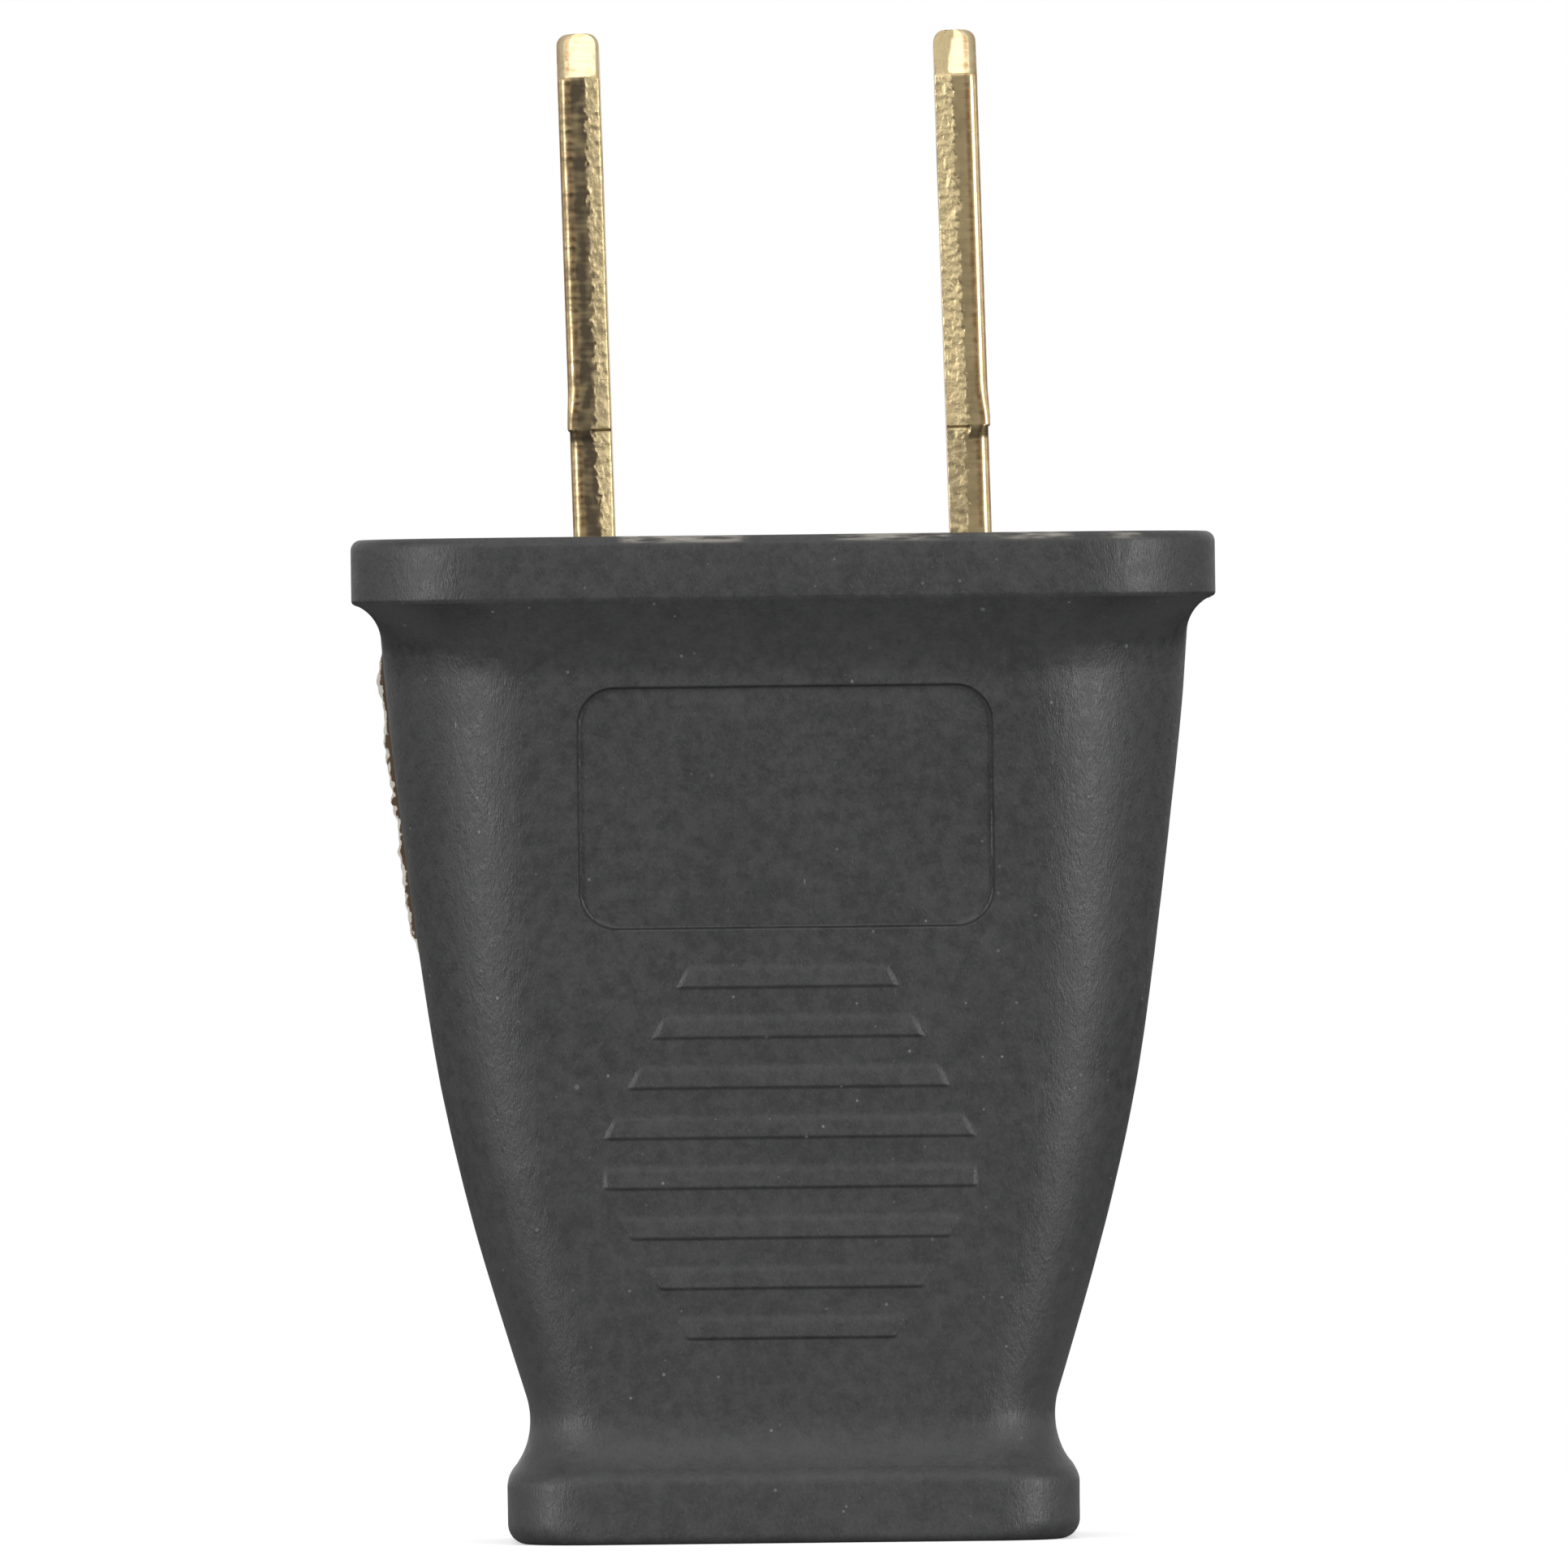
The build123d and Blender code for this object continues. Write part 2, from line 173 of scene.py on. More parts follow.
# Boxes of light: azimuth and elevation in degrees, width and height in metres, and the setting of its power
SOFT_BOXES = {
    "key_box": (0, 42, 0.4, 0.16, "key_power"),
    "left_box": (-50, 2, 0.1, 0.08, "left_power"),
    "right_box": (48, 2, 0.12, 0.08, "right_power"),
    "high_left_box": (-50, 28, 0.1, 0.1, "left_high_power"),
    "high_right_box": (48, 28, 0.1, 0.1, "right_high_power"),
    "left_side_box": (-95, 6, 0.16, 0.15, "rim_power"),
    "right_side_box": (95, 6, 0.16, 0.15, "rim_power"),
    "top_box": (0, 88, 0.2, 0.2, "top_power"),
}
FLOOR_HALF = 1.5            # half width of the floor in metres
FLOOR_NEAR = 0.3            # share of the clear distance up to which the floor is plain
BACKDROP = (0.7, 0.97)      # how directly behind the plug the room begins to turn white, and is white


def length(name, description, value, least=0.0):
    """A size in metres that a user can change."""
    return FloatProperty(
        name=name, description=description, default=value, min=least, unit="LENGTH", precision=5
    )


def angle(name, description, degrees):
    """An angle that a user can change."""
    value = math.radians(degrees)
    return FloatProperty(name=name, description=description, default=value, subtype="ANGLE")


def ratio(name, description, value):
    """A plain number that a user can change."""
    return FloatProperty(name=name, description=description, default=value, min=0.0)


def colour(name, description, value):
    """A linear colour that a user can change."""
    return FloatVectorProperty(
        name=name, description=description, default=value, size=3, min=0.0, max=1.0, subtype="COLOR"
    )


def power(name, description, watts):
    """Power of a lamp that a user can change."""
    return FloatProperty(name=name, description=description, default=watts, min=0.0, unit="POWER")


def lengths(name, description, values):
    """Sizes of the left and the right blade in metres that a user can change."""
    return FloatVectorProperty(
        name=name, description=description, default=values, size=2, min=0.0, unit="LENGTH", precision=5
    )


def brightness(name, description, value):
    """A brightness that a user can change."""
    return FloatProperty(name=name, description=description, default=value, min=0.0, max=1.0)


def pair(name, description, values):
    """Shares of the left and the right blade that a user can change."""
    return FloatVectorProperty(
        name=name, description=description, default=values, size=2, min=0.0, max=1.0
    )


class HousingSizes(bpy.types.PropertyGroup):
    """Sizes of the moulded vinyl housing."""

    flange_width: length("Flange width", "Across the two blades", HOUSING_HIGH.x - HOUSING_LOW.x)
    flange_depth: length("Flange depth", "Through the plug", HOUSING_HIGH.y - HOUSING_LOW.y)
    body_height: length("Body height", "Cord end to the face", HOUSING_HIGH.z)
    flange_thickness: length("Flange thickness", "Height of its side", 2.2 * MM)
    flange_corner: length("Flange corner", "Radius seen from above", 4.4 * MM)
    flange_edge: length("Flange edge", "Rounding of the rim of the face", 0.35 * MM)
    flange_under_edge: length("Flange lower edge", "Rounding of its lower edge", 0.16 * MM)
    flange_soft_edge: length("Flange soft edge", "Rounding of its lower edge at the front", 0.18 * MM)
    flange_reach_side: length("Flange reach at the sides", "How far it stands out there", 0.89 * MM)
    flange_reach_front: length("Flange reach at the front", "How far it stands out there", 1.2 * MM)
    cove_side: length("Hollow at the sides", "Height of the flange's hollow there", 1.1 * MM)
    cove_front: length("Hollow at the front", "Height of the flange's hollow there", 2.5 * MM)
    cove_corner: length("Hollow at the corners", "Height of the flange's hollow there", 1.6 * MM)
    cove_bend: ratio("Hollow bend", "Bend of the flange's hollow at the front: 1 is a slope", 1.7)
    cove_straight: length("Hollow, tall part", "Half width with the height of the front", 8.2 * MM)
    cove_taper: length("Hollow taper", "Width over which it lowers towards the corners", 3.4 * MM)
    cove_start: angle("Hollow start", "Slope at which it leaves the flange at the sides", 25)
    shoulder_corner: length("Shoulder corner", "Radius just under the flange", 5.8 * MM)
    waist_width: length("Waist width", "Narrowest place above the cord end", 17.66 * MM)
    waist_depth: length("Waist depth", "The same through the plug", 11.0 * MM)
    waist_height: length("Waist height", "Level of the narrowest place", 4.16 * MM)
    waist_cove: length("Waist hollow", "Radius between body and cord end", 2.8 * MM)
    waist_flare: angle("Waist flare", "Lean of the sides where they leave the hollow", 17.3)
    side_sway: length("Side sway", "How far the sides bow out low down and in higher up", 0.12 * MM)
    collar_lip: length("Collar lip", "How far the cord end stands out from the hollow", 0.03 * MM)
    collar_corner: length("Collar corner", "Radius seen from above", 2.6 * MM)
    collar_height: length("Collar height", "Upper edge of the cord end", 2.24 * MM)
    collar_brow: length("Collar brow", "How far its upper edge is softened", 0.3 * MM)
    collar_edge: length("Collar edge", "Rounding of the lower rim", 0.7 * MM)
    collar_front_edge: length("Collar front edge", "Rounding of the lower rim at the front", 0.25 * MM)
    panel_width: length("Panel width", "Bare panel on each broad side", 13.99 * MM)
    panel_height: length("Panel height", "Bare panel on each broad side", 8.17 * MM)
    panel_corner: length("Panel corner", "Radius of its corners", 1.3 * MM)
    panel_drop: length("Panel drop", "From the flange down to the panel", 2.83 * MM)
    panel_recess: length("Panel recess", "Depth", 0.2 * MM)
    panel_slope: length("Panel slope", "Width of its leaning walls", 0.1 * MM)
    ridge_count: IntProperty(
        name="Ridges", description="Grip ridges on each broad side", default=8, min=1
    )
    ridge_base: length("Ridge base", "From the waist up to the lowest ridge", 2.64 * MM)
    ridge_pitch: length("Ridge pitch", "From one ridge to the next", 1.683 * MM)
    ridge_height: length("Ridge height", "Along the body", 0.9 * MM)
    ridge_step: length("Ridge step", "At the lower edge", 0.1 * MM)
    ridge_rise: length("Ridge rise", "At the upper edge", 0.025 * MM)
    ridge_fade: length("Ridge fade", "Width of its soft upper edge", 0.3 * MM)
    ridge_slope: length("Ridge slope", "Width of its leaning lower edge", 0.14 * MM)
    ridge_end_slope: length("Ridge end slope", "Width of its leaning ends", 0.24 * MM)
    ridge_field_half: length("Ridge field", "Half width of the widest ridges", 6.33 * MM)
    ridge_field_straight: length("Ridge field, straight part", "Half its height", 0.85 * MM)
    ridge_taper_up: ratio("Ridge field taper, up", "Narrowing upwards", 0.5)
    ridge_taper_down: ratio("Ridge field taper, down", "Narrowing downwards", 0.55)
    sag: length("Moulding waviness", "Broad unevenness of the soft skin", 0.022 * MM)
    wrinkle: length("Skin unevenness", "Finer unevenness of the soft skin", 0.006 * MM)


class CavitySizes(bpy.types.PropertyGroup):
    """Sizes of the space inside the housing."""

    recess_width: length("Recess width", "Seat of the face plate", 23.84 * MM)
    recess_depth: length("Recess depth", "Seat of the face plate", 11.64 * MM)
    recess_corner: length("Recess corner", "Radius", 3.12 * MM)
    recess_drop: length("Recess drop", "From the face down to the seat", 1.6 * MM)
    mouth_edge: length("Mouth edge", "Rounding where the seat opens", 0.12 * MM)
    cavity_width: length("Cavity width", "Space of the terminal block", 20.64 * MM)
    cavity_depth: length("Cavity depth", "Space of the terminal block", 9.44 * MM)
    cavity_corner: length("Cavity corner", "Radius", 2.32 * MM)
    shelf_level: length("Shelf level", "Shelf under the terminal block", 17.24 * MM)
    groove_level: length("Groove level", "Middle of the snap grooves", 31.4 * MM)
    groove_height: length("Groove height", "Of the snap grooves", 0.94 * MM)
    groove_reach: length("Groove reach", "Depth of the snap grooves", 0.57 * MM)
    chamber_width: length("Chamber width", "Wiring space", 16.2 * MM)
    chamber_depth: length("Chamber depth", "Wiring space", 7.6 * MM)
    chamber_corner: length("Chamber corner", "Radius", 2.4 * MM)
    chamber_level: length("Chamber level", "Lower end of the wiring space", 10.64 * MM)
    throat_level: length("Throat level", "Lower end of the taper to the cord hole", 6.24 * MM)
    hole_width: length("Cord hole width", "In the cord end", 9.2 * MM)
    hole_depth: length("Cord hole depth", "In the cord end", 5.0 * MM)
    hole_corner: length("Cord hole corner", "Radius", 2.35 * MM)
    hole_edge: length("Cord hole edge", "Rounding of its rim", 0.5 * MM)


class FlashSizes(bpy.types.PropertyGroup):
    """Sizes of the ragged moulding flash on the parting line."""

    low: length("Flash low end", "Height above the cord end", 19.6 * MM)
    high: length("Flash high end", "Height above the cord end", 30.4 * MM)
    reach: length("Flash reach", "Widest place", 0.32 * MM)
    root: length("Flash root", "How deep it sits in the skin", 0.12 * MM)
    thickness: length("Flash thickness", "At its root", 0.11 * MM)
    edge: length("Flash edge", "Thickness at its ragged edge", 0.03 * MM)
    pitch: length("Flash pitch", "Height of one step along its edge", 0.05 * MM)


class BladeSizes(bpy.types.PropertyGroup):
    """Sizes of the stamped blades. Levels are measured from the face of the plug."""

    spacing: length("Spacing", "From blade to blade at the face", 12.7 * MM)
    lean: angle("Lean", "Of both blades towards the left", 1.3)
    reach: length("Length", "Above the face", 17.0 * MM)
    width: length("Width", "Through the plug", 6.35 * MM)
    thickness: length("Thickness", "Of the strip", 1.42 * MM)
    roll_over: length("Roll-over", "Rounding of the outer edges", 0.32 * MM)
    burr: lengths("Burr edge", "Rounding of the inner edges", (0.14 * MM, 0.07 * MM))
    tip_cut: length("Tip cut", "Corner cut at the tip", 1.55 * MM)
    tip_round: length("Tip rounding", "Of the inner and outer edge at the tip", 0.4 * MM)
    notch_level: length("Notch level", "Cross notch", 3.5 * MM)
    notch_height: length("Notch height", "Of the cross notch", 0.16 * MM)
    notch_depth: length("Notch depth", "Of the cross notch", 0.2 * MM)
    notch_run: length("Notch run", "How far the notch spreads down where it runs out", 0.2 * MM)
    flare_length: length("Flare length", "Where the blade spreads above the notch", 1.5 * MM)
    flare_roll: length("Flare rounding", "Rounding of the outer edges at the notch", 0.2 * MM)
    flare_reach: length("Flare reach", "How far it spreads", 0.05 * MM)
    neck_setback: length("Neck setback", "Of both edges below the notch", 0.08 * MM)
    neck_run: length("Neck run", "Height over which the edges set back", 0.5 * MM)
    roll_ripple: lengths("Roll-over ripple", "Unevenness of the roll-over", (0.022 * MM, 0.006 * MM))
    neck_relief: length("Neck relief", "Of the outer face below the notch", 0.02 * MM)
    tab_shoulder: length("Tab shoulder", "How far the tab stands out", 0.52 * MM)
    tab_drop: length("Tab drop", "Top of the tab below the face", 3.26 * MM)
    tab_length: length("Tab length", "Of the terminal tab", 11.8 * MM)
    detent_radius: length("Detent hole", "Radius", 1.6 * MM)
    detent_level: length("Detent level", "Of the hole above the face", 11.9 * MM)
    tapped_radius: length("Tapped hole", "Radius in the tab", 1.77 * MM)
    tapped_drop: length("Tapped hole drop", "Below the face", 8.46 * MM)
    hole_edge: length("Hole edge", "Rounding of the holes", 0.07 * MM)
    fracture_share: pair("Fracture share", "Torn part of the cut edges", (0.42, 0.56))
    tip_fracture: pair("Fracture share at the tip", "Torn part of the corner cuts", (0.0, 0.45))
    # Darkening of the smooth part of the cut edges: grime, and painted shade for the dark reflection of the
    # smooth cut
    smooth_grime_and_shade: pair("Grime, smooth part", "Tarnish of the smooth part of the cut edges", (1.0, 0.16))
    tip_grime: pair("Grime, torn tip", "Tarnish of the torn part of the corner cuts", (0.0, 0.3))
    torn_grime: pair("Grime, torn part", "Tarnish of the torn part of the cut edges", (0.3, 0.0))
    neck_grime: pair("Grime, neck", "Tarnish of the torn part below the notch", (0.16, 0.42))
    notch_share: pair("Notch share", "How much of the notch the torn part shows", (0.25, 0.2))
    fracture_setback: length("Fracture setback", "How far the torn part falls back", 0.06 * MM)
    fracture_scale: length("Fracture roughness", "Height of its scales", 0.03 * MM)
    burr_height: length("Burr height", "How far the ragged inner edge stands up", 0.035 * MM)


class FinishColours(bpy.types.PropertyGroup):
    """Colours of the finishes, linear."""

    vinyl: colour("Vinyl", "Skin of the housing", (0.0207, 0.0215, 0.0211))
    vinyl_worn: colour("Vinyl, cloudy", "Duller patches of the skin", (0.0382, 0.0391, 0.0386))
    dust: colour("Dust", "Specks and scuffs on the skin", (0.26, 0.26, 0.25))
    # Pale colour on the front rim of the face: a painted highlight where the rounded rim catches light
    rim_highlight: colour("Rim, worn", "Pale places along the rim of the face", (0.28, 0.26, 0.225))
    flash: colour("Flash", "Thin edge of the moulding flash", (0.11, 0.062, 0.026))
    # Pale film of the flash: whitened vinyl, and partly a painted glint where the thin film catches light
    flash_whitened_and_glint: colour("Flash, whitened", "Strained film of the flash", (0.82, 0.78, 0.7))
    insert: colour("Insert", "Hard moulding that holds the blades", (0.035, 0.034, 0.033))
    insert_mottle: colour("Insert, mottled", "Flow marks in the hard moulding", (0.05, 0.047, 0.044))
    brass: colour("Brass", "Rolled strip", (0.83, 0.65, 0.35))
    brass_dull: colour("Brass, dull", "Tarnish on the strip", (0.6, 0.46, 0.25))
    brass_torn: colour("Brass, torn", "Fracture of the cut edges", (0.93, 0.75, 0.42))
    # Paler brass on the corner cuts of the tips: a painted highlight standing for their glare
    brass_tip_highlight: colour("Brass, bright", "Burnished corner cuts at the tips", (0.93, 0.8, 0.5))
    # Brown on the rolled-over edges: tarnish, and painted shade standing for their dark reflection
    brass_stain_and_shade: colour("Brass, stained", "Brown tarnish on the rolled-over edges", (0.42, 0.19, 0.075))
    # Dark brass in the cut edges: grime, and painted shade in the notch and on the smooth cut
    brass_grime_and_shade: colour("Brass, grimy", "Dark tarnish in the cut edges", (0.17, 0.132, 0.086))
    screw: colour("Screw brass", "Turned screws", (0.74, 0.6, 0.34))


class StageSettings(bpy.types.PropertyGroup):
    """Camera, light and floor."""

    camera_distance: length("Camera distance", "From the middle of the plug", 950 * MM)
    camera_side: length("Camera side", "Sideways place of the camera", -0.05 * MM, least=-1.0)
    camera_height: length("Camera height", "Level of the middle of the picture", 25.45 * MM)
    frame_width: length("Frame width", "What the picture shows across", 52.9 * MM)
    camera_roll: angle("Camera roll", "Lean of the camera", 0.65)
    lamp_distance: length("Lamp distance", "From the middle of the plug", 550 * MM)
    key_power: power("Key box", "Power of the box above the camera", 0.26)
    left_power: power("Left box", "Power of the low box at the left", 0.72)
    right_power: power("Right box", "Power of the low box at the right", 0.85)
    left_high_power: power("High left box", "Power of the box over the left box", 0.3)
    right_high_power: power("High right box", "Power of the box over the right box", 0.2)
    rim_power: power("Side boxes", "Power of each of the two boxes at the sides", 0.1)
    top_power: power("Top box", "Power of the small box over the plug", 0.21)
    sky: brightness("Sky", "Strength of the even light from all round", 0.7)
    room: brightness("Room", "Brightness of the room, as gloss shows it", 0.5)
    ground: brightness("Ground", "Brightness of the floor, as gloss shows it", 0.04)
    floor_clear: length("Floor clear", "Distance at which the floor has turned white", 90 * MM)
    floor_tone: brightness("Floor tone", "Paleness of the floor, as it is seen", 0.93)
    floor_bounce: brightness("Floor bounce", "Paleness of the floor, as it lights the plug", 0.35)
    floor_glow: brightness("Floor glow", "Share of white light near the plug", 0.45)


def soft_step(share):
    """Smooth step from 0 to 1."""
    share = np.clip(share, 0.0, 1.0)
    return share * share * (3.0 - 2.0 * share)


def quarter_turn(count):
    """Angles of a quarter turn, without its start."""
    return [math.pi / 2 * (i + 1) / count for i in range(count)]


def noise_at(points, size, seed):
    """Soft noise between -1 and 1 at points in metres, with lumps of about a size."""
    shift = Vector((seed * 17.31, seed * 5.17, seed * 9.73))
    return np.array([noise.noise(Vector(p) / size + shift) for p in points])


def grid_faces(rings, columns, closed):
    """Quads between rings of points, each ring closed, and the last joined to the first if closed."""
    ring = np.arange(rings if closed else rings - 1)[:, None]
    column = np.arange(columns)[None, :]
    after_ring = (ring + 1) % rings
    after_column = (column + 1) % columns
    corners = [
        ring * columns + column,
        after_ring * columns + column,
        after_ring * columns + after_column,
        ring * columns + after_column,
    ]
    return np.stack([np.broadcast_to(c, (ring.size, columns)) for c in corners], axis=-1)


def add_piece(name, points, faces, material, sharp_degrees):
    """A smooth mesh object with crisp edges where it turns sharply, riding on the plug."""
    mesh = bpy.data.meshes.new(name)
    mesh.from_pydata(points, [], faces)
    mesh.validate()
    mesh.polygons.foreach_set("use_smooth", [True] * len(mesh.polygons))
    mesh.set_sharp_from_angle(angle=math.radians(sharp_degrees))
    mesh.materials.append(material)
    piece = bpy.data.objects.new(name, mesh)
    bpy.context.scene.collection.objects.link(piece)
    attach(piece, "root")
    return piece


def add_marks(piece, marks):
    """Stores named values on the points of a piece."""
    for key, values in marks.items():
        piece.data.attributes.new(key, "FLOAT", "POINT").data.foreach_set("value", values)


# Shape of the housing: s holds its sizes and c those of the space inside

def hollow_offset(s, height):
    """How far the hollow above the cord end has moved out at a height."""
    return s.waist_cove - math.sqrt(s.waist_cove**2 - (height - s.waist_height) ** 2)


def flange_bottom(s):
    """Level of the underside of the flange."""
    return s.body_height - s.flange_thickness


def half_width_at(s, height):
    """Half width of the body: the hollow, then one large arc with a slight sway up to the shoulder."""
    joint_height = s.waist_height + s.waist_cove * math.sin(s.waist_flare)
    joint_half = s.waist_width / 2 + s.waist_cove * (1 - math.cos(s.waist_flare))
    if height <= joint_height:
        return s.waist_width / 2 + hollow_offset(s, height)
    rise = flange_bottom(s) - joint_height
    run = s.flange_width / 2 - s.flange_reach_side - joint_half
    top_lean = 2 * math.atan2(run, rise) - s.waist_flare
    side_radius = math.hypot(run, rise) / (2 * math.sin((s.waist_flare - top_lean) / 2))
    lean = math.asin(math.sin(s.waist_flare) - (height - joint_height) / side_radius)
    turn = math.pi * (height - joint_height) / rise
    sway = s.side_sway * math.sin(2 * turn) * math.sin(turn)
    return joint_half + side_radius * (math.cos(lean) - math.cos(s.waist_flare)) + sway


def half_depth_at(s, height):
    """Half depth of the body: the hollow, then one straight slope."""
    shoulder_half = s.flange_depth / 2 - s.flange_reach_front
    across = shoulder_half - s.waist_depth / 2 - s.waist_cove
    up = flange_bottom(s) - s.waist_height
    lean = math.atan2(across, up) + math.asin(s.waist_cove / math.hypot(across, up))
    if height <= s.waist_height + s.waist_cove * math.sin(lean):
        return s.waist_depth / 2 + hollow_offset(s, height)
    return shoulder_half - (flange_bottom(s) - height) * math.tan(lean)


def body_ring(s, height):
    """Height, half width, half depth and corner of the body."""
    share = (height - s.collar_height) / (flange_bottom(s) - s.collar_height)
    grown = max(0.0, share) ** CORNER_GROWTH
    corner = s.collar_corner + (s.shoulder_corner - s.collar_corner) * grown
    half_depth = half_depth_at(s, height)
    return (height, half_width_at(s, height), half_depth, min(corner, half_depth - CORNER_ROOM))


def outline_of(sizes, part):
    """Half width, half depth and corner of a part with an even outline."""
    width, depth, corner = (getattr(sizes, f"{part}_{word}") for word in ("width", "depth", "corner"))
    return (width / 2, depth / 2, corner)


def inset_ring(outline, inset, height):
    """A ring that lies inside an outline by an inset."""
    half_width, half_depth, corner = outline
    return (height, half_width - inset, half_depth - inset, corner - inset)


def flange_rings(s, c, front_height):
    """Rings from the recess over the face and the flange, and down a hollow of a given height."""
    mouth = outline_of(c, "recess")
    flange = outline_of(s, "flange")
    top = s.body_height
    bottom = flange_bottom(s)
    edge = s.flange_edge
    rings = [inset_ring(mouth, 0.0, top - c.mouth_edge)]
    for turn in quarter_turn(MOUTH_RINGS):
        reach = c.mouth_edge * (1 - math.cos(turn))
        rings.append(inset_ring(mouth, -reach, top - c.mouth_edge * (1 - math.sin(turn))))
    rings.append(inset_ring(flange, 2 * edge, top))
    rings.append(inset_ring(flange, edge, top))
    for turn in quarter_turn(RIM_RINGS):
        rings.append(inset_ring(flange, edge * (1 - math.sin(turn)), top - edge * (1 - math.cos(turn))))
    for share in QUARTERS:
        height = top - edge + share * (bottom + s.flange_soft_edge - top + edge)
        rings.append(inset_ring(flange, 0.0, height))
    rings += [under_ring(s, flange, math.sin(turn)) for turn in quarter_turn(UNDER_RINGS)]
    start = rings[-1]
    for turn in np.linspace(s.cove_start, math.pi / 2, COVE_RINGS + 1)[1:]:
        drop = s.cove_front * (1 - math.cos(turn) / math.cos(s.cove_start))
        rings.append(cove_ring(s, start, drop, front_height))
    return rings


def under_ring(s, flange, share):
    """Ring of the flange's lower edge: rounded at the sides, and leading into the hollow at the front."""
    half_width, half_depth, corner = flange
    up = s.flange_soft_edge * (1 - share)
    turn = max(0.0, 1 - up / s.flange_under_edge)
    side = s.flange_under_edge * (1 - math.sqrt(1 - turn**2))
    front = s.flange_soft_edge * s.cove_bend * s.flange_reach_front / s.cove_front * share**2 / 2
    return (flange_bottom(s) + up, half_width - side, half_depth - front, corner - front)


def cove_share(s, drop, height):
    """How far the hollow under the flange has drawn in: 0 at the flange, 1 at the hollow's lower end."""
    first = math.sin(s.cove_start)
    cosine = math.cos(s.cove_start) * max(0.0, 1 - drop / height)
    return (math.sqrt(1 - cosine**2) - first) / (1 - first)


def cove_ring(s, start, drop, front_height):
    """Ring of the hollow at a drop below the flange: it is lower at the sides than at the front."""
    body = body_ring(s, flange_bottom(s) - drop)
    heights = (front_height, s.cove_front)
    front, corner = (1 - max(0.0, 1 - drop / height) ** s.cove_bend for height in heights)
    shares = (cove_share(s, drop, s.cove_side), front, corner)
    sizes = [a + (b - a) * share for a, b, share in zip(start[1:], body[1:], shares)]
    return (body[0], *sizes)


def ridge_foot(s, index):
    """Level of the lower edge of a ridge."""
    return s.waist_height + s.ridge_base + s.ridge_pitch * index


def panel_middle(s):
    """Level of the middle of the panel."""
    return flange_bottom(s) - s.panel_drop - s.panel_height / 2


def body_levels(s):
    """Levels of the body's rings, from the top down, packed at the edges of the ridges and the panel."""
    high = flange_bottom(s) - s.cove_front
    low = s.collar_height + s.collar_brow
    levels = list(np.arange(low, high, BODY_PITCH))
    for index in range(s.ridge_count):
        foot = ridge_foot(s, index)
        levels += [foot + s.ridge_slope * share for share in RIDGE_FOOT_SHARES]
        levels += [foot + s.ridge_height - s.ridge_slope * share for share in RIDGE_TOP_SHARES]
    for end in (-1, 1):
        rim = panel_middle(s) + end * s.panel_height / 2
        levels += [rim - end * s.panel_slope * share for share in PANEL_RIM_SHARES]
        for turn in quarter_turn(PANEL_CORNER_RINGS):
            levels.append(rim - end * (s.panel_slope / 2 + s.panel_corner * (1 - math.cos(turn))))
    for turn in np.linspace(*WAIST_TURNS, WAIST_RINGS):
        levels.append(s.waist_height + s.waist_cove * math.sin(turn))
    kept = [high]
    for height in sorted(levels, reverse=True):
        if kept[-1] - height > LEAST_PITCH and height >= low:
            kept.append(height)
    return kept[1:]


def collar_rings(s, c):
    """Rings of the cord end, down its side and in over its lower face to the cord hole."""
    rim = hollow_offset(s, s.collar_height) + s.collar_lip
    collar = (s.waist_width / 2 + rim, s.waist_depth / 2 + rim, s.collar_corner)
    above = body_ring(s, s.collar_height + s.collar_brow)
    crest = (s.collar_height, *collar)
    below = (s.collar_height - s.collar_brow, *collar)
    rings = []
    for share in np.linspace(0.0, 1.0, BROW_RINGS):
        weights = ((1 - share) ** 2, 2 * share * (1 - share), share**2)
        rings.append(tuple(np.dot(weights, [above, crest, below])))
    edge = s.collar_edge
    for share in COLLAR_SHARES:
        rings.append(inset_ring(collar, 0.0, below[0] + share * (edge - below[0])))
    for turn in quarter_turn(COLLAR_RINGS):
        side = edge * (1 - math.cos(turn))
        up = edge * (1 - math.sin(turn))
        low = max(0.0, s.collar_front_edge - up)
        front = s.collar_front_edge - math.sqrt(s.collar_front_edge**2 - low**2)
        rings.append((up, collar[0] - side, collar[1] - front, collar[2] - front))
    hole = outline_of(c, "hole")
    rings.append(inset_ring(hole, -HOLE_MARGIN * c.hole_edge, 0.0))
    rings.append(inset_ring(hole, -c.hole_edge, 0.0))
    for turn in quarter_turn(HOLE_RINGS):
        inset = -c.hole_edge * (1 - math.sin(turn))
        rings.append(inset_ring(hole, inset, c.hole_edge * (1 - math.cos(turn))))
    return rings


def inside_rings(s, c):
    """Rings of the cord hole, throat, wiring chamber, cavity and seat of the face plate."""
    hole, chamber, cavity, mouth = (outline_of(c, part) for part in ("hole", "chamber", "cavity", "recess"))
    rings = [(height, *hole) for height in np.linspace(HOLE_START, c.throat_level, 3)]
    for share in QUARTERS:
        sizes = [a + (b - a) * share for a, b in zip(hole, chamber)]
        rings.append((c.throat_level + share * (c.chamber_level - c.throat_level), *sizes))
    rings += [(height, *chamber) for height in np.linspace(c.chamber_level, c.shelf_level, 4)[1:]]
    rings += [(height, *cavity) for height in np.linspace(c.shelf_level, groove_levels(c)[0], 5)]
    rings += [(height, *cavity) for height in groove_levels(c)[1:]]
    seat = s.body_height - c.recess_drop
    rings += [(seat, *cavity), (seat, *mouth)]
    return rings


def groove_levels(c):
    """Levels of the two edges of the snap grooves, each with a short leaning wall."""
    low = c.groove_level - c.groove_height / 2
    high = c.groove_level + c.groove_height / 2
    return [low, low + GROOVE_LEAN, high - GROOVE_LEAN, high]


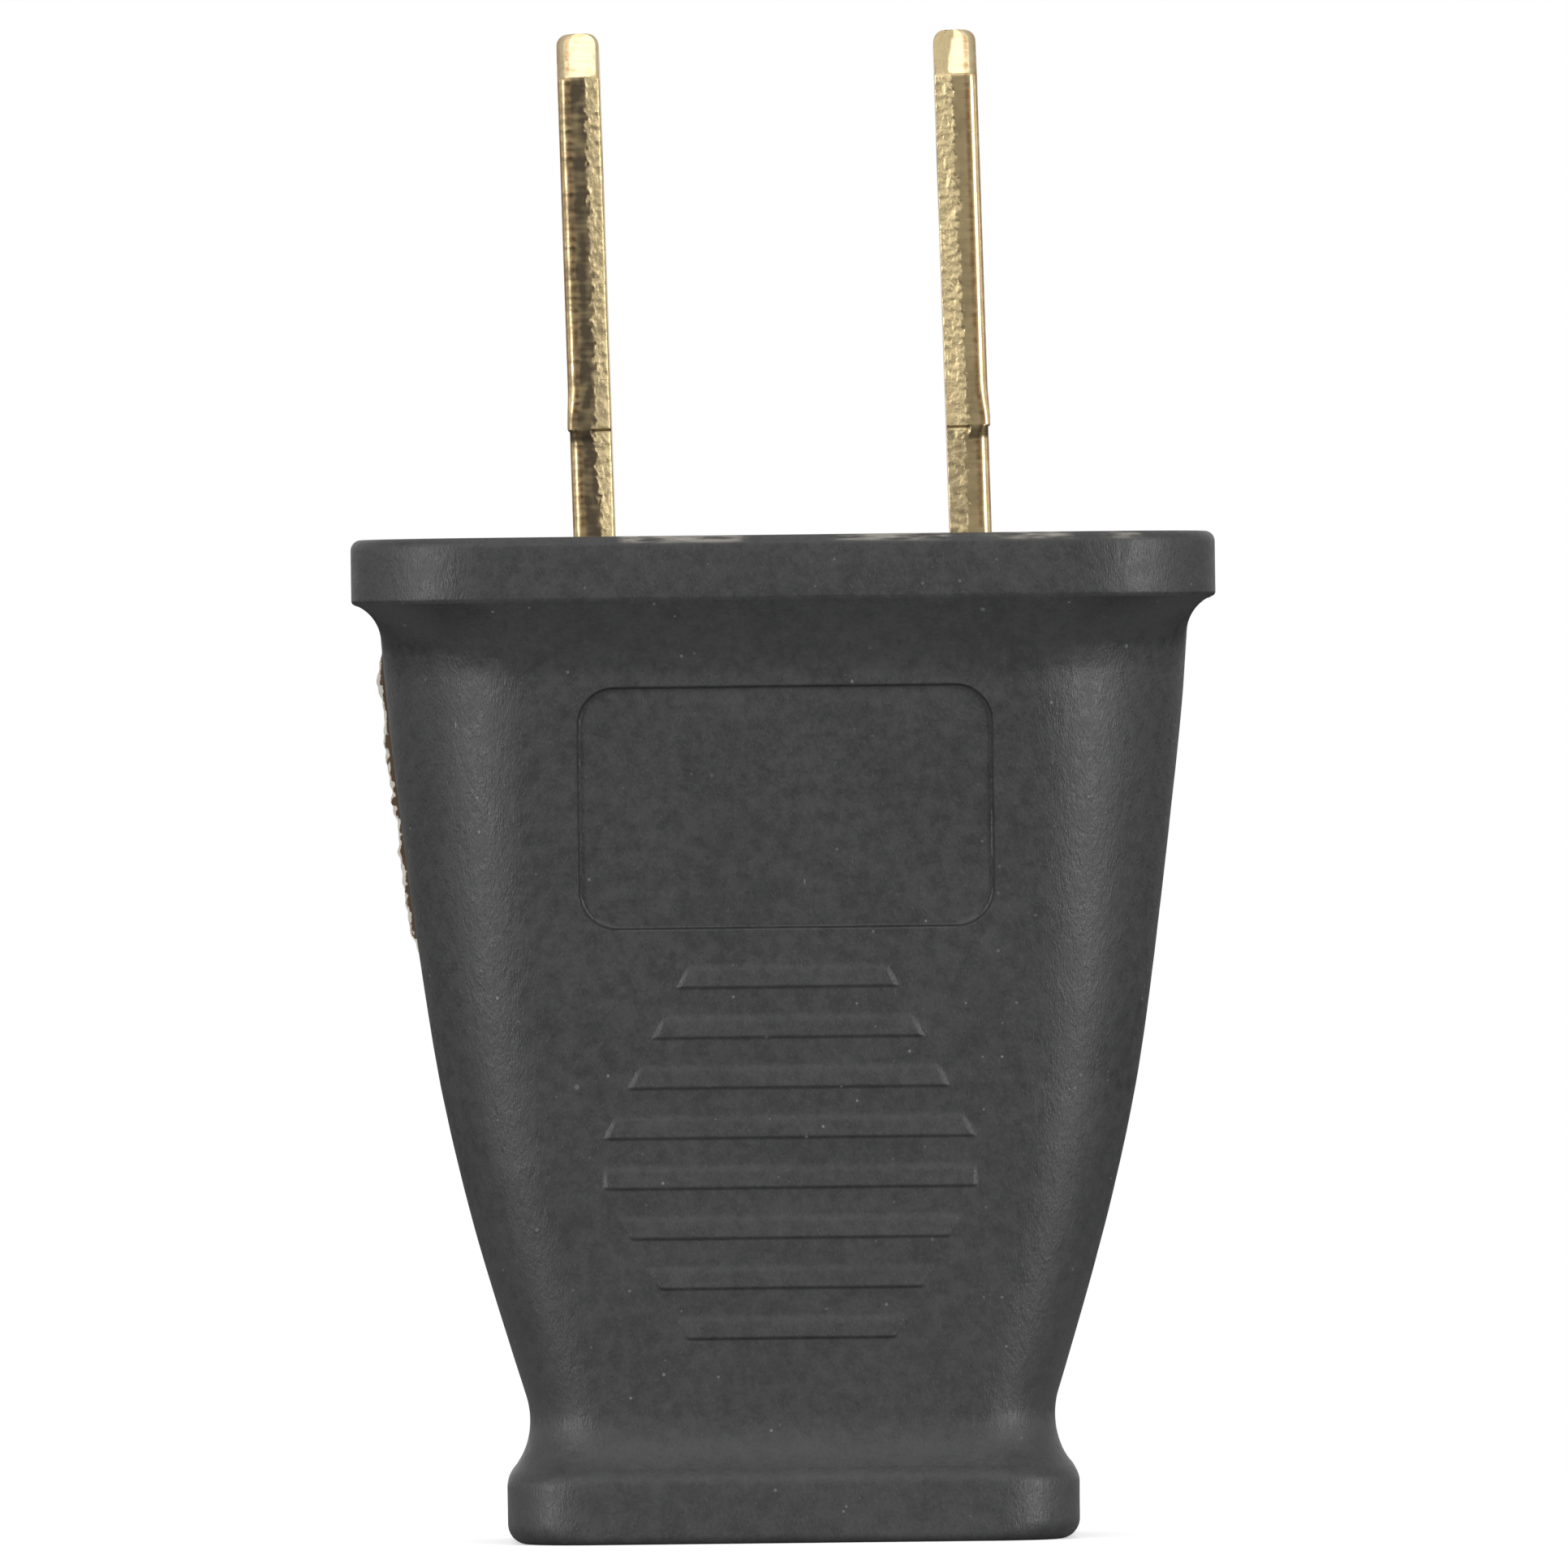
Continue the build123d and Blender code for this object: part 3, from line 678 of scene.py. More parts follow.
def ridge_half_width(s, height):
    """Half width of the ridge field: straight in the middle, narrowing both ways."""
    middle = ridge_foot(s, (s.ridge_count - 1) / 2)
    beyond = np.maximum(0.0, np.abs(height - middle) - s.ridge_field_straight)
    taper = np.where(height > middle, s.ridge_taper_up, s.ridge_taper_down)
    return s.ridge_field_half - taper * beyond


def feature_edge(s, height):
    """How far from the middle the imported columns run: along ridge ends and the sides of the panel."""
    middle = panel_middle(s)
    half = s.panel_height / 2
    corner = s.panel_corner
    inner = s.panel_width / 2 - corner
    ridge_top = ridge_foot(s, s.ridge_count - 1) + s.ridge_height
    slope = s.ridge_end_slope / 2
    if height <= ridge_top:
        return float(ridge_half_width(s, max(height, ridge_foot(s, 0)))) - slope
    if height < middle - half:
        start = float(ridge_half_width(s, ridge_top)) - slope
        return start + (inner - start) * (height - ridge_top) / (middle - half - ridge_top)
    beyond = max(0.0, abs(height - middle) - (half - corner))
    return inner + math.sqrt(max(0.0, corner**2 - beyond**2)) - s.panel_slope / 2


def quarter_outline(s, ring):
    """Points from the middle of the front to the middle of the right side, packed at a feature's edge."""
    height, half_width, half_depth, corner = ring
    flat = half_width - corner
    straight = half_depth - corner
    band = s.ridge_end_slope / 2
    reach = flat + FRONT_SHARE * corner
    edge = min(feature_edge(s, height), reach - 2 * band)
    front = np.concatenate([
        np.linspace(0.0, edge - band, INNER_COLUMNS + 1)[:-1],
        np.linspace(edge - band, edge + band, EDGE_COLUMNS),
        np.linspace(edge + band, reach, OUTER_COLUMNS + 1)[1:],
    ])
    beyond = np.maximum(0.0, front - flat)
    turn = np.linspace(math.asin(FRONT_SHARE), math.pi / 2, CORNER_COLUMNS + 2)[1:-1]
    x = np.concatenate([front, flat + corner * np.sin(turn), np.full(SIDE_SHARES.size, half_width)])
    y = np.concatenate([
        straight + np.sqrt(corner**2 - beyond**2),
        straight + corner * np.cos(turn),
        straight * SIDE_SHARES,
    ])
    return np.stack([x, -y], axis=1)


def whole_outline(quarter):
    """The four mirrored quarters of an outline, counterclockwise from the middle of the front."""
    right_rear = quarter[-2::-1] * (1, -1)
    left_rear = quarter[1:] * (-1, -1)
    left_front = quarter[-2:0:-1] * (-1, 1)
    return np.concatenate([quarter, right_rear, left_rear, left_front])


def ring_outlines(s, rings):
    """Whole outlines of rings, as one grid of places across and through the plug."""
    return np.array([whole_outline(quarter_outline(s, ring)) for ring in rings])


def ridge_relief(s, across, height):
    """How far the grip ridges stand out: they rise towards their lower edge and step back there."""
    index = np.clip(np.floor((height - ridge_foot(s, 0)) / s.ridge_pitch), 0, s.ridge_count - 1)
    up = height - ridge_foot(s, index)
    crest = s.ridge_step + (s.ridge_rise - s.ridge_step) * np.clip(up / s.ridge_height, 0.0, 1.0)
    lower = soft_step(up / s.ridge_slope)
    upper = soft_step((s.ridge_height - up) / s.ridge_fade)
    end = soft_step((ridge_half_width(s, height) - np.abs(across)) / s.ridge_end_slope)
    return crest * lower * upper * end


def panel_relief(s, across, height):
    """How far the bare panel falls back."""
    corner = s.panel_corner
    wide = np.abs(across) - (s.panel_width / 2 - corner)
    tall = np.abs(height - panel_middle(s)) - (s.panel_height / 2 - corner)
    beyond_corner = np.hypot(np.maximum(wide, 0.0), np.maximum(tall, 0.0))
    outside = beyond_corner + np.minimum(np.maximum(wide, tall), 0.0)
    return -s.panel_recess * soft_step((corner - outside) / s.panel_slope)


def grid_normals(points):
    """Unit normals of a closed grid of rings."""
    along = np.roll(points, -1, axis=0) - np.roll(points, 1, axis=0)
    around = np.roll(points, -1, axis=1) - np.roll(points, 1, axis=1)
    normals = np.cross(along, around)
    return normals / np.maximum(np.linalg.norm(normals, axis=2, keepdims=True), 1e-12)


def housing_points(s, c):
    """Grid of the whole housing, outside and inside, as rings of points."""
    outer = flange_rings(s, c, s.cove_front)
    body_start = len(outer)
    outer += [body_ring(s, height) for height in body_levels(s)]
    body_end = len(outer)
    outer += collar_rings(s, c)
    rings = outer + inside_rings(s, c)
    outlines = ring_outlines(s, rings)
    low_hollow = ring_outlines(s, flange_rings(s, c, s.cove_corner))
    taper = soft_step((np.abs(outlines[:body_start, :, :1]) - s.cove_straight) / s.cove_taper)
    outlines[:body_start] += taper * (low_hollow - outlines[:body_start])
    heights = np.array([ring[0] for ring in rings])[:, None]
    heights = np.broadcast_to(heights, outlines.shape[:2])
    points = np.concatenate([outlines, heights[..., None]], axis=2)
    body = slice(body_start, body_end)
    across = points[body, :, 0]
    relief = ridge_relief(s, across, heights[body]) + panel_relief(s, across, heights[body])
    points[body, :, 1] += np.sign(points[body, :, 1]) * relief
    cut_grooves(c, rings, points, len(outer))
    return roughen(s, points, len(outer))


def cut_grooves(c, rings, points, inside_start):
    """Moves the middle of the cavity's narrow ends outwards between the edges of the snap grooves."""
    low, high = groove_levels(c)[1:3]
    half = (c.cavity_depth / 2 - c.cavity_corner) * GROOVE_SHARE
    for index in range(inside_start, len(rings)):
        if low - TINY <= rings[index][0] <= high + TINY:
            ring = points[index]
            side = (np.abs(ring[:, 1]) < half) & (np.abs(ring[:, 0]) > c.cavity_width / 2 - TINY)
            ring[side, 0] += np.sign(ring[side, 0]) * c.groove_reach


def roughen(s, points, outer_count):
    """Uneven skin of the soft moulding, fading out on the flat face and the flat cord end."""
    height = points[:outer_count, :, 2]
    fade = soft_step(height / s.collar_edge) * soft_step((s.body_height - height) / s.flange_edge + 0.25)
    flat = points[:outer_count].reshape(-1, 3)
    broad = noise_at(flat, SAG_SIZE, 1).reshape(height.shape)
    fine = noise_at(flat, WRINKLE_SIZE, 2).reshape(height.shape)
    push = fade * (s.sag * broad + s.wrinkle * fine)
    moved = points.copy()
    moved[:outer_count] += grid_normals(points)[:outer_count] * push[..., None]
    moved[:outer_count, :, 2] = np.clip(moved[:outer_count, :, 2], 0.0, s.body_height)
    return moved


def rim_highlight_marks(s, points):
    """How much a point lies in the places of the painted highlight, which run from the face down the
    rounded front rim.
    """
    below = (s.body_height - points[:, 2]) / s.flange_edge
    on_front = points[:, 1] < -s.flange_depth / 2 + 1.5 * s.flange_edge
    along = np.zeros(len(points))
    for first, last in RIM_HIGHLIGHTS:
        inside = np.minimum(points[:, 0] - first * MM, last * MM - points[:, 0])
        along = np.maximum(along, soft_step(inside / HIGHLIGHT_FADE + 0.3))
    return soft_step(below / HIGHLIGHT_START) * soft_step(2.0 - HIGHLIGHT_SLOPE * below) * on_front * along


def flash_points(s, fin):
    """Rings of the thin ragged fin, four points each, from its low end up."""
    rings = []
    count = int((fin.high - fin.low) / fin.pitch)
    root = fin.thickness / 2
    tip = fin.edge / 2
    for index in range(count + 1):
        share = index / count
        height = fin.low + (fin.high - fin.low) * index / count
        fade = float(soft_step(share * FLASH_ENDS[0]) * soft_step((1 - share) * FLASH_ENDS[1]))
        here = Vector((0.0, 0.0, height))
        ragged = 0.7 + 0.4 * noise.noise(here / FLASH_LUMP) + 0.35 * noise.noise(here / FLASH_TOOTH)
        reach = fin.reach * fade * min(1.0, max(FLASH_LEAST, ragged))
        skin = -half_width_at(s, height)
        bend = FLASH_BEND * noise.noise(here / FLASH_WAVE + Vector((3.0, 1.0, 2.0)))
        rings.append([
            (skin + fin.root, root, height),
            (skin - reach, bend + tip, height),
            (skin - reach, bend - tip, height),
            (skin + fin.root, -root, height),
        ])
    return np.array(rings)


# Shape of the blades: s holds their sizes, and blade is 0 for the left one and 1 for the right one

def blade_outline(half_width, inner, outer, roll, burr):
    """Outline of a blade on the right side, counterclockwise from the inner end of its front edge."""
    across = np.linspace(inner + burr, outer - roll, CUT_COLUMNS)
    turn = np.linspace(0.0, math.pi / 2, ROLL_COLUMNS + 2)[1:-1]
    roll_x = outer - roll + roll * np.sin(turn)
    wide = np.linspace(-half_width + roll, half_width - roll, FACE_COLUMNS + 1)
    curl = np.linspace(0.0, math.pi / 2, BURR_COLUMNS + 1)[1:]
    curl_x = inner + burr * (1 - np.sin(curl))
    curl_y = half_width - burr * (1 - np.cos(curl))
    x = np.concatenate([
        across, roll_x, np.full(wide.size, outer), roll_x[::-1], across[::-1],
        curl_x, np.full(wide.size, inner), curl_x[::-1],
    ])
    y = np.concatenate([
        np.full(across.size, -half_width),
        -half_width + roll - roll * np.cos(turn),
        wide,
        (half_width - roll + roll * np.cos(turn))[::-1],
        np.full(across.size, half_width),
        curl_y,
        wide[::-1],
        -curl_y[::-1],
    ])
    return np.stack([x, y], axis=1)


def cut_columns():
    """For each column of a blade: place across a cut edge, fade at the corners, and side of the edge."""
    share = np.linspace(0.0, 1.0, CUT_COLUMNS)
    full = np.ones(CUT_COLUMNS)
    rolled = np.ones(ROLL_COLUMNS)
    fade = np.linspace(1.0, 0.0, ROLL_COLUMNS + 2)[1:-1]
    broad = np.zeros(FACE_COLUMNS + 1)
    curl = np.zeros(BURR_COLUMNS)
    burr = np.linspace(1.0, 0.0, BURR_COLUMNS)
    edge = np.ones(CUT_COLUMNS + ROLL_COLUMNS)
    place = np.concatenate([share, rolled, broad, rolled, share[::-1], curl, broad, curl])
    weight = np.concatenate([full, fade, broad, fade[::-1], full, burr, broad, burr[::-1]])
    side = np.concatenate([-edge, broad, edge, curl + 1.0, broad, curl - 1.0])
    return place, weight, side


def stain_and_shade_columns():
    """How much each column of a blade lies on a rolled-over corner, where the brown band is: tarnish, with
    the dark reflection of the edge painted in.
    """
    roll = soft_step(np.linspace(0.0, 1.0, ROLL_COLUMNS + 2)[1:-1] * 1.6 - 0.5)
    cut = 0.8 * soft_step((np.linspace(0.0, 1.0, CUT_COLUMNS) - STAIN_AND_SHADE_START) / STAIN_AND_SHADE_FADE)
    broad = np.zeros(FACE_COLUMNS + 1)
    broad[[0, -1]] = 1.0
    inner = np.zeros(2 * BURR_COLUMNS + FACE_COLUMNS + 1)
    return np.concatenate([cut, roll, broad, roll[::-1], cut[::-1], inner])


def roll_at(s, level):
    """Rounding of the outer edges at a level: it narrows down to the notch and grows again below it."""
    above = (level - s.notch_level - s.notch_height) / s.flare_length
    share = soft_step(1 - above if above >= 0.0 else 1 + 3 * above)
    return s.roll_over + (s.flare_roll - s.roll_over) * float(share)


def blade_rings(s):
    """Level, half width and outer face of each ring of a blade, from the end of its tab to its tip."""
    return tab_rings(s) + neck_rings(s) + strip_rings(s) + tip_rings(s)


def tab_rings(s):
    """Rings of the terminal tab."""
    levels = np.linspace(-s.tab_drop - s.tab_length, -s.tab_drop, TAB_RINGS)
    return [(z, s.width / 2 + s.tab_shoulder, s.thickness / 2) for z in levels]


def neck_rings(s):
    """Rings from the tab up to the top of the notch."""
    foot = s.notch_level + s.notch_height
    levels = list(np.linspace(-s.tab_drop, -BELOW_FACE, SEAT_RINGS))
    levels += list(np.linspace(0.0, s.notch_level - 2 * s.notch_run, NECK_RINGS))
    levels += list(np.linspace(s.notch_level - 1.9 * s.notch_run, foot, NOTCH_RINGS))
    rings = []
    for z in levels:
        setback = s.neck_setback * float(soft_step((foot - z) / s.notch_height))
        rings.append((z, s.width / 2 - setback, s.thickness / 2 - s.neck_relief))
    return rings


def strip_rings(s):
    """Rings from the notch up to the corner cut, spreading a little above the notch."""
    foot = s.notch_level + s.notch_height
    flared = foot + s.flare_length
    levels = list(np.linspace(foot, flared, FLARE_RINGS))
    levels += list(np.linspace(flared, s.reach - s.tip_cut - CREASE, STRIP_RINGS)[1:])
    rings = []
    for z in levels:
        flare = s.flare_reach * float(soft_step(1 - (z - foot) / s.flare_length))
        rings.append((z, s.width / 2, s.thickness / 2 + flare))
    return rings


def tip_rings(s):
    """Rings of the corner cut and of the rounded tip."""
    half = s.thickness / 2
    cut_start = s.reach - s.tip_cut
    round_start = s.reach - s.tip_round
    rings = [(cut_start, s.width / 2 - CREASE_INSET, half)]
    for z in np.linspace(cut_start + CREASE, round_start, TIP_RINGS):
        rings.append((z, s.width / 2 - (z - cut_start), half))
    for turn in quarter_turn(TIP_ROUND_RINGS):
        z = round_start + s.tip_round * math.sin(turn)
        rings.append((z, s.width / 2 - (z - cut_start), half - s.tip_round * (1 - math.cos(turn))))
    return rings


def torn_border(s, levels, blade, seed):
    """At each level: how far across an edge the torn part reaches, and the share of the corner cut."""
    rise = (levels - s.reach + s.tip_cut) / s.tip_cut
    tip = soft_step(TIP_FADE * rise)
    tip_border = s.tip_fracture[blade] * (1.0 + 0.5 * np.maximum(rise, 0.0) ** 2)
    border = s.fracture_share[blade] * (1 - tip) + tip_border * tip
    line = np.stack([np.zeros(levels.size), np.zeros(levels.size), levels], axis=1)
    return border + WANDER * noise_at(line, WANDER_SIZE, seed), tip


def shear_grain(s, across, up, seed):
    """Noises at the points of a cut edge, each under its name."""
    where = np.stack([across * s.thickness, np.zeros(across.size), up], axis=1)
    return {
        name: noise_at(where * stretch, size, seed + draw)
        for name, (stretch, size, draw) in SHEAR_GRAIN.items()
    }


def shear_marks(s, levels, place, side, blade):
    """Torn share, grime with painted shade, painted highlight of the corner cuts and set-back of each point
    on the cut edges of a blade.
    """
    rows, columns = np.meshgrid(levels, np.arange(place.size), indexing="ij")
    torn, grime, burnish, setback = np.zeros((4, *rows.shape))
    for edge in (-1.0, 1.0):
        on_edge = side[columns] == edge
        across = place[columns][on_edge]
        up = rows[on_edge]
        seed = 20 * blade + edge + 30
        grain = shear_grain(s, across, up, seed)
        borders = torn_border(s, levels, blade, seed)
        border, tip = (np.broadcast_to(value[:, None], rows.shape)[on_edge] for value in borders)
        fray = 0.16 * grain["fray"] + 0.1 * grain["fine_fray"]
        inside = border - across + fray * (1 - 0.7 * tip)
        share = soft_step(inside / TORN_FADE)
        crest = soft_step(1.0 - inside / CREST_WIDTH)
        near_roll = soft_step((across - ROLL_START) / ROLL_WIDTH)

        clouds = 0.9 + 0.6 * grain["blots"] + 0.4 * grain["lines"] - 0.25 * near_roll
        # Darkening of the smooth part: grime, and painted shade for its dark reflection
        smooth_grime_and_shade = s.smooth_grime_and_shade[blade] * np.clip(clouds, 0.0, 1.25) * (1 - tip)
        tarnish = np.where(up < s.notch_level, s.neck_grime[blade], s.torn_grime[blade])
        patches = np.clip(1.0 + 1.2 * grain["lumps"] - crest, 0.0, 2.0)
        torn_grime = tarnish * patches * (1 - tip) + s.tip_grime[blade] * tip

        fall = s.fracture_setback * np.clip(inside / TORN_RUN, 0.0, 1.0)
        rough = s.fracture_scale * (grain["lumps"] + np.abs(grain["scales"])) * (0.5 + crest)
        burr = np.maximum(0.0, grain["burr"]) * soft_step(1 - across / BURR_WIDTH)
        ripple = s.roll_ripple[blade] * near_roll * grain["ripple"] * (1 - tip)

        torn[on_edge] = share
        grime[on_edge] = (1 - share) * smooth_grime_and_shade + share * torn_grime
        # Corner cut outside the torn part: where the tip's highlight is painted
        burnish[on_edge] = tip * (1 - share)
        setback[on_edge] = share * (fall + rough) + (1 - share) * LINE_HEIGHT * grain["lines"]
        setback[on_edge] += ripple - s.burr_height * burr
    return torn, grime, burnish, setback


def smooth_columns(s, place, blade):
    """How much each column of a blade lies in the smooth part of a cut edge."""
    return soft_step((place - s.fracture_share[blade]) / SMOOTH_FADE)[None, :]


def notch_marks(s, levels, place, blade):
    """How much of the cross notch a point has: a narrow line that runs out in the smooth part."""
    up = levels[:, None] - s.notch_level
    smooth = smooth_columns(s, place, blade)
    above = soft_step((up + s.notch_run * smooth) / NOTCH_FADE)
    below = soft_step((s.notch_height - up) / (0.5 * NOTCH_FADE))
    return above * below * s.notch_share[blade] * (1 - smooth)


def neck_fill(s, levels, place, blade):
    """How much less than the torn part the smooth part sets back below the notch, where it slopes."""
    down = s.notch_level + s.notch_height - levels
    share = soft_step(down / s.notch_height) - soft_step(down / s.neck_run)
    share = np.where(levels > 0.0, share, 0.0)
    return s.neck_setback * share[:, None] * smooth_columns(s, place, blade)


def blade_mesh(s, blade):
    """Points, faces and marks of a blade for the right side, in its own frame."""
    rings = blade_rings(s)
    levels = np.array([ring[0] for ring in rings])
    place, weight, side = cut_columns()
    grid = np.zeros((len(rings), place.size, 3))
    for index, (level, half_width, outer) in enumerate(rings):
        inner = -outer if level > s.reach - s.tip_round else -s.thickness / 2
        grid[index, :, :2] = blade_outline(half_width, inner, outer, roll_at(s, level), s.burr[blade])
        grid[index, :, 2] = level
    torn, grime, burnish, setback = shear_marks(s, levels, place, side, blade)
    setback -= neck_fill(s, levels, place, blade)
    neck = (levels > -s.tab_drop) & (levels <= s.notch_level + s.notch_height)
    notch = notch_marks(s, levels, place, blade) * neck[:, None]
    stain = stain_and_shade_columns()
    # The notch is painted dark as shade in its recess, and the rolled-over edges keep less of the darkening
    grime = np.maximum(grime, 0.7 * notch) * (1 - 0.7 * stain)
    grid[:, :, 1] -= side * weight * (setback + s.notch_depth * notch)
    above_face = soft_step(levels / STAIN_AND_SHADE_FOOT)[:, None]
    marks = {
        "torn": torn * weight,
        "grime": grime * weight,
        "burnish": burnish * weight,
        "stain": stain * above_face,
    }
    points, faces = blade_faces(s, grid)
    clean = np.zeros(len(points) - grime.size)
    return points, faces, {key: np.concatenate([mark.reshape(-1), clean]) for key, mark in marks.items()}


def blade_faces(s, grid):
    """Points and faces of a blade's grid, with its two holes and closed ends."""
    count, columns = grid.shape[:2]
    points = [tuple(p) for p in grid.reshape(-1, 3)]
    quads = grid_faces(count, columns, False)[:, :, ::-1]
    skipped = np.zeros(quads.shape[:2], bool)
    faces = []
    for level, radius in ((s.detent_level, s.detent_radius), (-s.tapped_drop, s.tapped_radius)):
        faces += drill(s, grid, points, skipped, level, radius)
    faces += quads[~skipped].tolist()
    last = (count - 1) * columns
    faces.append(list(range(columns))[::-1])
    faces.append(list(range(last, last + columns)))
    return points, faces


def drill(s, grid, points, skipped, level, radius):
    """A round hole through a blade: the quads round it are replaced by loops that end on a circle."""
    reach = HOLE_CLEAR * radius
    levels = grid[:, 0, 2]
    low = int(np.argmin(np.abs(levels - level + reach)))
    high = int(np.argmin(np.abs(levels - level - reach)))
    wide = grid[low, OUTER_FACE:OUTER_FACE + FACE_COLUMNS + 1, 1]
    left = int(np.argmin(np.abs(wide + reach)))
    right = int(np.argmin(np.abs(wide - reach)))
    loops = []
    faces = []
    for outward in (1, -1):
        columns = [OUTER_FACE + k if outward > 0 else INNER_FACE_END - k for k in range(left, right + 1)]
        skipped[low:high, min(columns):max(columns)] = True
        border = hole_border(low, high, columns)
        loop = [i * grid.shape[1] + k for i, k in border]
        starts = np.array([grid[i, k] for i, k in border])
        for ring in hole_rings(s, starts, outward, level, radius):
            fresh = list(range(len(points), len(points) + len(ring)))
            points.extend(tuple(p) for p in ring)
            faces += band_faces(loop, fresh, outward)
            loop = fresh
        loops.append(loop)
    faces += band_faces(loops[0], loops[1], 1)
    return faces


def hole_border(low, high, columns):
    """Rows and columns of the points round a rectangle of quads."""
    border = [(low, k) for k in columns]
    border += [(i, columns[-1]) for i in range(low + 1, high + 1)]
    border += [(high, k) for k in columns[-2::-1]]
    border += [(i, columns[0]) for i in range(high - 1, low, -1)]
    return border


def hole_rings(s, starts, outward, level, radius):
    """Rings of points from the border round a hole to its circle, and over the hole's edge."""
    middle = starts[0, 0]
    turns = [math.atan2(z - level, y) for _, y, z in starts]

    def circle(x, size):
        return np.array([(x, size * math.cos(turn), level + size * math.sin(turn)) for turn in turns])

    ends = circle(middle, radius + s.hole_edge)
    rings = [starts + (ends - starts) * share for share in HOLE_SHARES]
    for turn_in in quarter_turn(HOLE_EDGE_RINGS):
        depth = middle - outward * s.hole_edge * (1 - math.cos(turn_in))
        rings.append(circle(depth, radius + s.hole_edge * (1 - math.sin(turn_in))))
    return rings


def band_faces(outer_loop, inner_loop, outward):
    """Quads between two loops of as many points."""
    count = len(outer_loop)
    faces = []
    for k in range(count):
        after = (k + 1) % count
        quad = [outer_loop[k], outer_loop[after], inner_loop[after], inner_loop[k]]
        faces.append(quad if outward > 0 else quad[::-1])
    return faces


def place_blade(s, points, side):
    """Moves a blade's points from its own frame to its place, mirrored on the left side."""
    local = np.array(points) * (side, 1.0, 1.0)
    x = local[:, 0] * math.cos(s.lean) - local[:, 2] * math.sin(s.lean) + side * s.spacing / 2
    z = local[:, 0] * math.sin(s.lean) + local[:, 2] * math.cos(s.lean) + HOUSING_HIGH.z
    return np.stack([x, local[:, 1], z], axis=1)


# Finishes: f is the finish under construction, and sizes of patterns are in millimetres

class Nodes:
    """A tree of shader nodes under construction."""

    def __init__(self, tree):
        self.nodes = tree.nodes
        self.links = tree.links

    def add(self, kind, **settings):
        """A node of a kind, with its settings."""
        node = self.nodes.new(kind)
        for key, value in settings.items():
            setattr(node, key, value)
        return node

    def feed(self, socket, value):
        """Links an output to a socket, or sets the socket to a value."""
        if isinstance(value, bpy.types.NodeSocket):
            self.links.new(value, socket)
        elif hasattr(value, "__len__"):
            socket.default_value = (*value, 1.0) if len(value) < len(socket.default_value) else value
        else:
            socket.default_value = value

    def maths(self, operation, *values):
        """One step of arithmetic."""
        node = self.add("ShaderNodeMath", operation=operation)
        for socket, value in zip(node.inputs, values):
            self.feed(socket, value)
        return node.outputs["Value"]

    def span(self, value, low, high, to_low=0.0, to_high=1.0, ends="SMOOTHSTEP"):
        """Maps a value from one span to another, with soft ends unless told otherwise."""
        node = self.add("ShaderNodeMapRange", interpolation_type=ends)
        sockets = ("Value", "From Min", "From Max", "To Min", "To Max")
        for key, item in zip(sockets, (value, low, high, to_low, to_high)):
            self.feed(node.inputs[key], item)
        return node.outputs["Result"]


